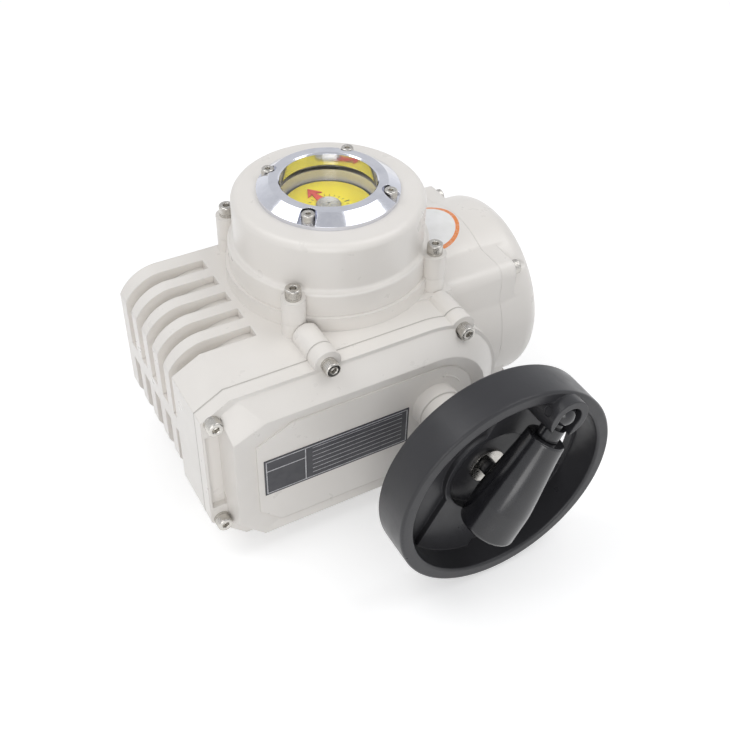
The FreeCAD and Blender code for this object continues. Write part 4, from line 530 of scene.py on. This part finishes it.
class Workshop:
    """Makes meshes, puts finishes on them and attaches every piece to its body."""

    def __init__(self, nodes: dict[str, bpy.types.Object]) -> None:
        """Keeps the frame's nodes and an empty store of materials.

        Args:
            nodes: the CAD objects by name.
        """
        self.nodes = nodes
        self._materials: dict[str, bpy.types.Material] = {}

    def material(self, finish: Finish) -> bpy.types.Material:
        """The finish's material, made once."""
        if finish.name not in self._materials:
            self._materials[finish.name] = finish.lay()
        return self._materials[finish.name]

    def mesh(self, name: str, points: np.ndarray, faces: list[np.ndarray]) -> bpy.types.Object:
        """Puts arrays of points and faces into a new object.

        Args:
            name: the object's name.
            points: an n by 3 array in metres.
            faces: arrays of vertex numbers, each with one row per face.

        Returns:
            The new object, at the origin.
        """
        loops = np.concatenate([rows.ravel() for rows in faces]).astype(np.int32)
        sizes = np.concatenate([np.full(len(rows), rows.shape[1]) for rows in faces])
        starts = np.concatenate(([0], np.cumsum(sizes)[:-1])).astype(np.int32)
        data = bpy.data.meshes.new(name)
        data.vertices.add(len(points))
        data.vertices.foreach_set("co", points.astype(np.float32).ravel())
        data.loops.add(len(loops))
        data.loops.foreach_set("vertex_index", loops)
        data.polygons.add(len(starts))
        data.polygons.foreach_set("loop_start", starts)
        data.update(calc_edges=True)
        data.validate()
        made = bpy.data.objects.new(name, data)
        bpy.context.scene.collection.objects.link(made)
        return made

    def smooth(self, piece: bpy.types.Object, angle: float) -> None:
        """Smooth shading with edges sharper than an angle kept, and normals weighted by face area."""
        data = piece.data
        data.polygons.foreach_set("use_smooth", np.ones(len(data.polygons), dtype=bool))
        data.set_sharp_from_angle(angle=math.radians(angle))
        weighting = piece.modifiers.new("even_normals", "WEIGHTED_NORMAL")
        weighting.keep_sharp = True
        weighting.weight = 80

    def finish(self, piece: bpy.types.Object, finish: Finish, body: str,
               *stands_for: str) -> bpy.types.Object:
        """Gives a new piece its material and body, and hides the nodes that it stands for.

        Args:
            piece: the new object.
            finish: its surface finish.
            body: the body that it moves with.
            stands_for: the CAD nodes that it replaces.

        Returns:
            The same object.
        """
        piece.data.materials.append(self.material(finish))
        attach(piece, body)
        if stands_for:
            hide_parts(*stands_for)
        LOG.info("%s: %d faces, %s, on %s", piece.name, len(piece.data.polygons), finish.name, body)
        return piece

    def refined(self, node: str, finish: Finish, angle: float = 32.0) -> bpy.types.Object:
        """Replaces a node by its own shape with joined vertices and smooth normals.

        Vertices of equal place, to a hundredth of a micrometre, become one; faces with fewer than three
        different corners are dropped.

        Args:
            node: the CAD node.
            finish: its surface finish.
            angle: the sharpest edge in degrees that is still shaded smooth.

        Returns:
            The new object.
        """
        source = self.nodes[node]
        count = len(source.data.vertices)
        places = np.empty(count * 3, np.float32)
        source.data.vertices.foreach_get("co", places)
        corners = np.empty(len(source.data.loops), np.int32)
        source.data.loops.foreach_get("vertex_index", corners)
        keys = np.round(places.reshape(-1, 3).astype(np.float64) / 1e-8).astype(np.int64)
        _, first, which = np.unique(keys, axis=0, return_index=True, return_inverse=True)
        faces = which.ravel()[corners].reshape(-1, 3)
        whole = (faces[:, 0] != faces[:, 1]) & (faces[:, 1] != faces[:, 2]) & (faces[:, 2] != faces[:, 0])
        piece = self.mesh(node + "_finished", places.reshape(-1, 3)[first], [faces[whole]])
        self.smooth(piece, angle)
        return self.finish(piece, finish, source["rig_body"], node)

    @staticmethod
    def sleeve(rings: np.ndarray) -> tuple[np.ndarray, list[np.ndarray]]:
        """Closes a grid of rings into a skin with a pole at each end.

        Args:
            rings: k by m by 3 points; ring 0 and the last one each shrink to one point.

        Returns:
            The points and faces, which point outwards where the rings turn anticlockwise seen against the
            way from the first ring to the last.
        """
        count, around = rings.shape[0], rings.shape[1]
        inner = rings[1:-1].reshape(-1, 3)
        points = np.vstack([rings[0, :1], inner, rings[-1, :1]])
        here = 1 + np.arange(around)
        after = 1 + (np.arange(around) + 1) % around
        rows = (np.arange(count - 3) * around)[:, None]
        quads = np.stack([rows + here, rows + after, rows + around + after, rows + around + here],
                         axis=-1).reshape(-1, 4)
        top = (count - 3) * around
        last = len(points) - 1
        low = np.stack([np.zeros(around, int), after, here], axis=-1)
        high = np.stack([top + here, top + after, np.full(around, last)], axis=-1)
        return points, [quads, low, high]


def turned_to(points: np.ndarray, place: Triple, axis: Triple) -> np.ndarray:
    """Moves points made along +Z so that +Z runs along an axis, starting at a place.

    Args:
        points: an array of points in metres.
        place: where their origin goes.
        axis: the direction that +Z turns to.

    Returns:
        The moved points.
    """
    turn = np.array(Vector((0, 0, 1)).rotation_difference(Vector(axis)).to_matrix())
    return points @ turn.T + np.array(place)


@dataclass
class CapScrews:
    """Socket head cap screws of one node, with a knurled head and a hexagon socket."""

    node: str
    axis: Triple
    seats: tuple[Triple, ...]
    radius: float
    head_radius: float
    head_height: float
    socket: float
    length: float
    knurls: int = 36
    knurl_depth: float = 0.12 * MM
    thread_depth: float = 0.11 * MM
    thread_step: float = 0.4 * MM
    around: int = 144

    def rings(self) -> np.ndarray:
        """Rings of one screw along +Z with its seat at z = 0.

        The radius of the head's side is its nominal one less a cosine of the angle times the depth of the
        knurl; the socket's radius is its apothem over the cosine of the angle from the nearest flat; the
        thread is a ripple of the shank's radius.

        Returns:
            k by m by 3 points.
        """
        turn = np.linspace(0, 2 * np.pi, self.around, endpoint=False)
        head, top = self.head_radius, self.head_height
        knurl = self.knurl_depth * (0.5 + 0.5 * np.cos(self.knurls * turn))
        flat = self.socket * math.cos(math.pi / 6)
        hexagon = flat / np.cos((turn + np.pi / 6) % (np.pi / 3) - np.pi / 6)
        plain = np.ones_like(turn)
        steps = int(self.length / self.thread_step)
        thread_z = np.linspace(-self.length + 0.5 * MM, -0.3 * MM, steps)
        thread_r = self.radius - self.thread_depth * (0.5 + 0.5 * np.cos(np.pi * np.arange(steps)))
        profile = [(0 * plain, -self.length), (plain * (self.radius - 0.4 * MM), -self.length)]
        profile += [(plain * r, z) for r, z in zip(thread_r, thread_z)]
        # Out over the seat, up the knurled side, over the chamfer and down the socket.
        profile += [
            (plain * self.radius, 0.0), (plain * (head - 0.25 * MM), 0.0),
            (plain * (head - 0.06 * MM), 0.2 * MM),
            (head - 0.3 * knurl, 0.35 * MM), (head - knurl, 0.55 * MM), (head - knurl, top - 1.0 * MM),
            (head - 0.3 * knurl, top - 0.8 * MM), (plain * (head - 0.1 * MM), top - 0.5 * MM),
            (plain * (head - 0.45 * MM), top - 0.12 * MM), (plain * (head - 0.75 * MM), top),
            (plain * (self.socket + 0.45 * MM), top), (plain * (self.socket + 0.15 * MM), top - 0.08 * MM),
            (hexagon, top - 0.4 * MM), (hexagon, top * 0.45 + 0.15 * MM), (hexagon * 0.93, top * 0.45),
            (0 * plain, top * 0.45 - 0.35 * MM)]
        radii = np.array([r for r, _ in profile])
        heights = np.array([z for _, z in profile])[:, None] * plain
        return np.stack([radii * np.cos(turn), radii * np.sin(turn), heights], axis=-1)

    def build(self, shop: Workshop) -> None:
        """Makes all screws of the node as one piece."""
        points, faces = shop.sleeve(self.rings())
        spots = [turned_to(points, seat, self.axis) for seat in self.seats]
        count = len(points)
        joined = [np.concatenate([rows + count * k for k in range(len(spots))]) for rows in faces]
        piece = shop.mesh(self.node + "_heads", np.concatenate(spots), joined)
        shop.smooth(piece, 40)
        shop.finish(piece, STAINLESS, Body.HOUSING.value, self.node)


@dataclass
class SightWindow:
    """The window's glass as a disc with a rounded edge."""

    radius: float = 30.6 * MM
    low: float = 154.6 * MM
    high: float = 158.6 * MM
    edge: float = 0.6 * MM
    around: int = 128

    def build(self, shop: Workshop) -> None:
        """Makes the glass: a profile with quarter-circle edges, turned about the output axis."""
        corner = np.linspace(0, np.pi / 2, 5)
        run = self.radius - self.edge
        radii = np.concatenate([[0], run + self.edge * np.sin(corner), run + self.edge * np.cos(corner), [0]])
        heights = np.concatenate([[self.low], self.low + self.edge * (1 - np.cos(corner)),
                                  self.high - self.edge * (1 - np.sin(corner)), [self.high]])
        turn = np.linspace(0, 2 * np.pi, self.around, endpoint=False)
        rings = np.stack([radii[:, None] * np.cos(turn), radii[:, None] * np.sin(turn),
                          heights[:, None] * np.ones_like(turn)], axis=-1)
        piece = shop.mesh("window_pane", *shop.sleeve(rings))
        shop.smooth(piece, 30)
        shop.finish(piece, GLASS, Body.HOUSING.value, "sight_glass")


@dataclass
class Grip:
    """The turning grip of the fold-away handle, widening towards its free end."""

    pivot: Triple = (46.75 * MM, -154.6 * MM, 109.234 * MM)
    lean: float = 60.0
    start: float = 15 * MM
    end: float = 75 * MM
    narrow: float = 10.5 * MM
    wide: float = 15.2 * MM
    bore: float = 4.04 * MM
    pocket: float = 67.5 * MM
    nose: float = 2.5 * MM
    mouth: float = 1.2 * MM
    swell_end: float = 57 * MM
    straight: float = 0.65
    around: int = 120
    sides: int = 40
    axis: Triple = field(init=False)

    def __post_init__(self) -> None:
        """Works out the grip's direction, from the pivot towards the wheel's axis."""
        turn = math.radians(self.lean)
        self.axis = (-math.cos(turn), 0.0, -math.sin(turn))

    def rings(self) -> np.ndarray:
        """Rings from the floor of the bore, over the narrow end and the swell, to the far end's middle.

        The side's radius grows with the length, for one share in a straight line and for the rest with a
        smooth step, which is three times its square less twice its cube. The far edge and the mouth are
        quarter circles.

        Returns:
            k by m by 3 points along +Z.
        """
        share = np.linspace(0, 1, self.sides)
        along = self.start + self.mouth + share * (self.swell_end - self.start - self.mouth)
        ease = self.straight * share + (1 - self.straight) * (3 * share ** 2 - 2 * share ** 3)
        swell = self.narrow + ease * (self.wide - self.narrow)
        corner = np.linspace(0, np.pi / 2, 8)
        floor = [0.0, self.bore, self.bore]
        floor_z = [self.pocket, self.pocket, self.start + 0.2 * MM]
        lip = self.narrow - self.mouth + self.mouth * np.sin(corner[:-1])
        lip_z = self.start + self.mouth * (1 - np.cos(corner[:-1]))
        run = self.wide - self.nose
        radii = np.concatenate([floor, [self.bore + 0.4 * MM], lip, swell, run + self.nose * np.cos(corner),
                                [0.62 * run, 0.0]])
        heights = np.concatenate([floor_z, [self.start], lip_z, along,
                                  self.end - self.nose + self.nose * np.sin(corner), [self.end, self.end]])
        turn = np.linspace(0, 2 * np.pi, self.around, endpoint=False)
        return np.stack([radii[:, None] * np.cos(turn), radii[:, None] * np.sin(turn),
                         heights[:, None] * np.ones_like(turn)], axis=-1)

    def build(self, shop: Workshop) -> None:
        """Makes the grip around the spindle."""
        points, faces = shop.sleeve(self.rings())
        piece = shop.mesh("grip_skin", turned_to(points, self.pivot, self.axis), faces)
        shop.smooth(piece, 35)
        shop.finish(piece, GRIP_BLACK, Body.GRIP.value, "grip")


@dataclass
class TurnArrow:
    """The raised turn arrow cast on the gear cover, above the handwheel shaft's boss."""

    centre: Triple = (21.5 * MM, -82.3 * MM, 65.5 * MM)
    radius: float = 18.4 * MM
    span: tuple[float, float] = (28.0, 76.0)
    barb: float = 3.2 * MM
    spread: float = 36.0
    half_width: float = 0.55 * MM
    height: float = 0.5 * MM
    steps: int = 40
    around: int = 14

    def ridge(self, path: np.ndarray) -> np.ndarray:
        """Carries a flat oval along a path in the panel's plane.

        The oval's size grows from nothing to full and back with the fourth root of the sine of the way along,
        which gives the ridge round ends.

        Args:
            path: n by 3 points.

        Returns:
            n by m by 3 points.
        """
        out = np.array([0.0, -1.0, 0.0])
        way = np.gradient(path, axis=0)
        way /= np.linalg.norm(way, axis=1, keepdims=True)
        across = np.cross(out, way)
        turn = np.linspace(0, 2 * np.pi, self.around, endpoint=False)
        share = np.abs(np.sin(np.linspace(0, np.pi, len(path)))) ** 0.25
        share[[0, -1]] = 0.0
        wide = (share[:, None] * self.half_width * np.cos(turn))[:, :, None] * across[:, None, :]
        tall = (share[:, None] * self.height * np.sin(turn))[:, :, None] * out
        return path[:, None, :] + wide + tall

    def build(self, shop: Workshop) -> None:
        """Makes the arc about the shaft and the two barbs at its end as one piece."""
        turn = np.radians(np.linspace(*self.span, self.steps))
        arc = np.array(self.centre) + self.radius * np.stack([np.cos(turn), 0 * turn, np.sin(turn)], axis=-1)
        share = np.linspace(0, self.barb, self.steps)[:, None]
        back = turn[-1] - np.pi / 2
        lines = [arc]
        for side in (-1, 1):
            angle = back + side * math.radians(self.spread)
            lines.append(arc[-1] + share * np.array([math.cos(angle), 0.0, math.sin(angle)]))
        skins = [shop.sleeve(self.ridge(line)) for line in lines]
        count = len(skins[0][0])
        joined = [np.concatenate([faces[k] + count * i for i, (_, faces) in enumerate(skins)])
                  for k in range(3)]
        piece = shop.mesh("turn_arrow", np.concatenate([points for points, _ in skins]), joined)
        shop.smooth(piece, 50)
        shop.finish(piece, IVORY, Body.HOUSING.value)


@dataclass(frozen=True)
class Camera:
    """The photograph's camera, fitted to the object's edges for a square picture."""

    place: Triple = (-0.21717, -0.42023, 0.46297)
    right: Triple = (0.87522, -0.48329, 0.02053)
    up: Triple = (0.31035, 0.59356, 0.74255)
    back: Triple = (-0.37105, -0.64352, 0.66948)
    focal: float = 1049.3
    picture: float = 730.0
    sensor: float = 36.0

    def build(self) -> None:
        """Sets up the camera: its lens is the sensor times the focal length over the picture's width."""
        data = bpy.data.cameras.new("photo_camera")
        data.sensor_width = self.sensor
        data.lens = self.sensor * self.focal / self.picture
        data.clip_start = 0.01
        made = bpy.data.objects.new("photo_camera", data)
        bpy.context.scene.collection.objects.link(made)
        axes = [Vector(v).normalized() for v in (self.right, self.up, self.back)]
        turn = Matrix((axes[0], axes[1], axes[2])).transposed().to_4x4()
        made.matrix_world = Matrix.Translation(Vector(self.place)) @ turn
        bpy.context.scene.camera = made


@dataclass(frozen=True)
class Lamp:
    """A square soft box that looks at the object's middle."""

    name: str
    place: Triple
    size: float
    watts: float
    tint: Triple = (1.0, 1.0, 1.0)
    aim: Triple = (0.0, -0.03, 0.08)

    def build(self) -> None:
        """Hangs the lamp and turns it to its aim."""
        data = bpy.data.lights.new(self.name, "AREA")
        data.shape = "SQUARE"
        data.size = self.size
        data.energy = self.watts
        data.color = self.tint
        made = bpy.data.objects.new(self.name, data)
        made.location = self.place
        made.rotation_euler = (Vector(self.aim) - Vector(self.place)).to_track_quat("-Z", "Y").to_euler()
        bpy.context.scene.collection.objects.link(made)


@dataclass(frozen=True)
class Studio:
    """White backdrop, pale floor and soft lamps."""

    floor_level: float = 0.0
    floor_half: float = 6.0
    floor_tone: Triple = (0.80, 0.80, 0.80)
    floor_glow: float = 0.42
    fade: tuple[float, float] = (0.35, 1.1)
    mirrored_heights: tuple[float, float] = (0.05, 0.75)
    mirrored_sky: tuple[float, float] = (0.95, 0.62)
    mirrored_tint: Triple = (0.96, 0.97, 1.0)
    ambient: float = 0.56
    ambient_tint: Triple = (0.97, 0.98, 1.0)
    lamps: tuple[Lamp, ...] = (
        Lamp("left_ceiling", (-0.56, 0.28, 1.22), 0.74, 3.6),
        Lamp("right_ceiling", (0.60, -0.27, 1.22), 0.74, 3.4),
        Lamp("front_box", (-0.75, -1.25, 0.62), 0.8, 5.2, (1.0, 0.99, 0.98)),
    )

    def build(self) -> None:
        """Sets up world, floor and lamps."""
        self._world()
        self._floor()
        for lamp in self.lamps:
            lamp.build()
        bpy.context.scene.view_settings.view_transform = "Standard"

    def _world(self) -> None:
        """White where the camera sees it, and a dimmer even sky for light that falls on the object.

        Metal and glass show a third sky that grows dimmer with its height.
        """
        world = bpy.data.worlds.new("studio")
        world.use_nodes = True
        tree = world.node_tree
        tree.nodes.clear()
        out = tree.nodes.new("ShaderNodeOutputWorld")
        path = tree.nodes.new("ShaderNodeLightPath")
        seen = tree.nodes.new("ShaderNodeBackground")
        seen.inputs["Color"].default_value = (1.0, 1.0, 1.0, 1.0)
        sky = tree.nodes.new("ShaderNodeBackground")
        sky.inputs["Color"].default_value = (*self.ambient_tint, 1.0)
        sky.inputs["Strength"].default_value = self.ambient
        mirrored = tree.nodes.new("ShaderNodeBackground")
        mirrored.inputs["Color"].default_value = (*self.mirrored_tint, 1.0)
        coords = tree.nodes.new("ShaderNodeTexCoord")
        split = tree.nodes.new("ShaderNodeSeparateXYZ")
        height = tree.nodes.new("ShaderNodeMapRange")
        names = ("From Min", "From Max", "To Min", "To Max")
        for name, number in zip(names, self.mirrored_heights + self.mirrored_sky):
            height.inputs[name].default_value = number
        tree.links.new(coords.outputs["Generated"], split.inputs[0])
        tree.links.new(split.outputs["Z"], height.inputs["Value"])
        tree.links.new(height.outputs["Result"], mirrored.inputs["Strength"])
        shine = tree.nodes.new("ShaderNodeMixShader")
        camera = tree.nodes.new("ShaderNodeMixShader")
        either = tree.nodes.new("ShaderNodeMath")
        either.operation = "MAXIMUM"
        tree.links.new(path.outputs["Is Glossy Ray"], either.inputs[0])
        tree.links.new(path.outputs["Is Transmission Ray"], either.inputs[1])
        tree.links.new(either.outputs[0], shine.inputs[0])
        tree.links.new(sky.outputs[0], shine.inputs[1])
        tree.links.new(mirrored.outputs[0], shine.inputs[2])
        tree.links.new(path.outputs["Is Camera Ray"], camera.inputs[0])
        tree.links.new(shine.outputs[0], camera.inputs[1])
        tree.links.new(seen.outputs[0], camera.inputs[2])
        tree.links.new(camera.outputs[0], out.inputs["Surface"])
        bpy.context.scene.world = world

    def _floor(self) -> None:
        """A pale floor under the foot: matt white with a little light of its own, so it meets the backdrop.

        Where it is seen, it fades to plain white with its distance from the foot.
        """
        half, z = self.floor_half, self.floor_level
        data = bpy.data.meshes.new("floor")
        corners = [(-half, -half, z), (half, -half, z), (half, half, z), (-half, half, z)]
        data.from_pydata(corners, [], [(0, 1, 2, 3)])
        floor = bpy.data.objects.new("floor", data)
        bpy.context.scene.collection.objects.link(floor)
        sheet = Sheet("pale_floor")
        sheet.set(Roughness=0.9, Specular_IOR_Level=0.0, Base_Color=self.floor_tone)
        path = sheet.node("ShaderNodeLightPath")
        seen = sheet.math("MAXIMUM", path.outputs["Is Camera Ray"], sheet.math(
            "MAXIMUM", path.outputs["Is Glossy Ray"], path.outputs["Is Transmission Ray"]))
        glow = sheet.node("ShaderNodeEmission")
        sheet.link(sheet.math("MULTIPLY", seen, self.floor_glow), glow.inputs["Strength"])
        both = sheet.node("ShaderNodeAddShader")
        sheet.link(sheet.shader.outputs["BSDF"], both.inputs[0])
        sheet.link(glow.outputs[0], both.inputs[1])
        white = sheet.node("ShaderNodeEmission")
        fade = sheet.node("ShaderNodeMixShader")
        far = sheet.spread(sheet.radius(0.0, 0.0), *self.fade)
        sheet.link(sheet.math("MULTIPLY", seen, far), fade.inputs[0])
        sheet.link(both.outputs[0], fade.inputs[1])
        sheet.link(white.outputs[0], fade.inputs[2])
        sheet.link(fade.outputs[0], sheet.output.inputs["Surface"])
        data.materials.append(sheet.material)


def screw_sets() -> list[CapScrews]:
    """The four sets of outer screws, each with the places of its seats."""
    m5 = dict(radius=2.5 * MM, head_radius=4.25 * MM, head_height=5 * MM, socket=2 * MM, length=20 * MM)
    m4 = dict(radius=2 * MM, head_radius=3.5 * MM, head_height=4 * MM, socket=1.5 * MM, length=10.5 * MM,
              knurls=30)
    front = [(-102.6, 100.9), (-102.6, 30.1), (-38.9, 112.7), (41.6, 104.7), (41.6, 26.3)]
    side = [(47.93, 98.93), (-35.93, 98.93), (-35.93, 15.07), (47.93, 15.07)]
    corners = [(1, 1), (-1, 1), (-1, -1), (1, -1)]
    return [
        CapScrews("gear_cover_screws", (0, -1, 0),
                  tuple((x * MM, -75.5 * MM, z * MM) for x, z in front), **m5),
        CapScrews("dome_screws", (0, 0, 1), tuple((41.93 * MM * a, 41.93 * MM * b, 134.5 * MM)
                                                  for a, b in corners), **m5),
        CapScrews("terminal_screws", (1, 0, 0), tuple((100.1 * MM, y * MM, z * MM) for y, z in side), **m5),
        CapScrews("bezel_screws", (0, 0, 1), tuple((23.9 * MM * a, 23.9 * MM * b, 163.7 * MM)
                                                   for a, b in corners), **m4),
    ]


def main() -> None:
    logging.basicConfig(level=logging.INFO, format="%(message)s")
    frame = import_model()
    Camera().build()
    Studio().build()
    shop = Workshop(frame["nodes"])
    for finish, nodes in FINISHES.items():
        for node in nodes:
            if node in frame["nodes"]:
                shop.refined(node, finish)
            else:
                LOG.warning("%s isn't a node", node)
    for screws in screw_sets():
        screws.build(shop)
    SightWindow().build(shop)
    Grip().build(shop)
    TurnArrow().build(shop)


if __name__ == "__main__":
    main()
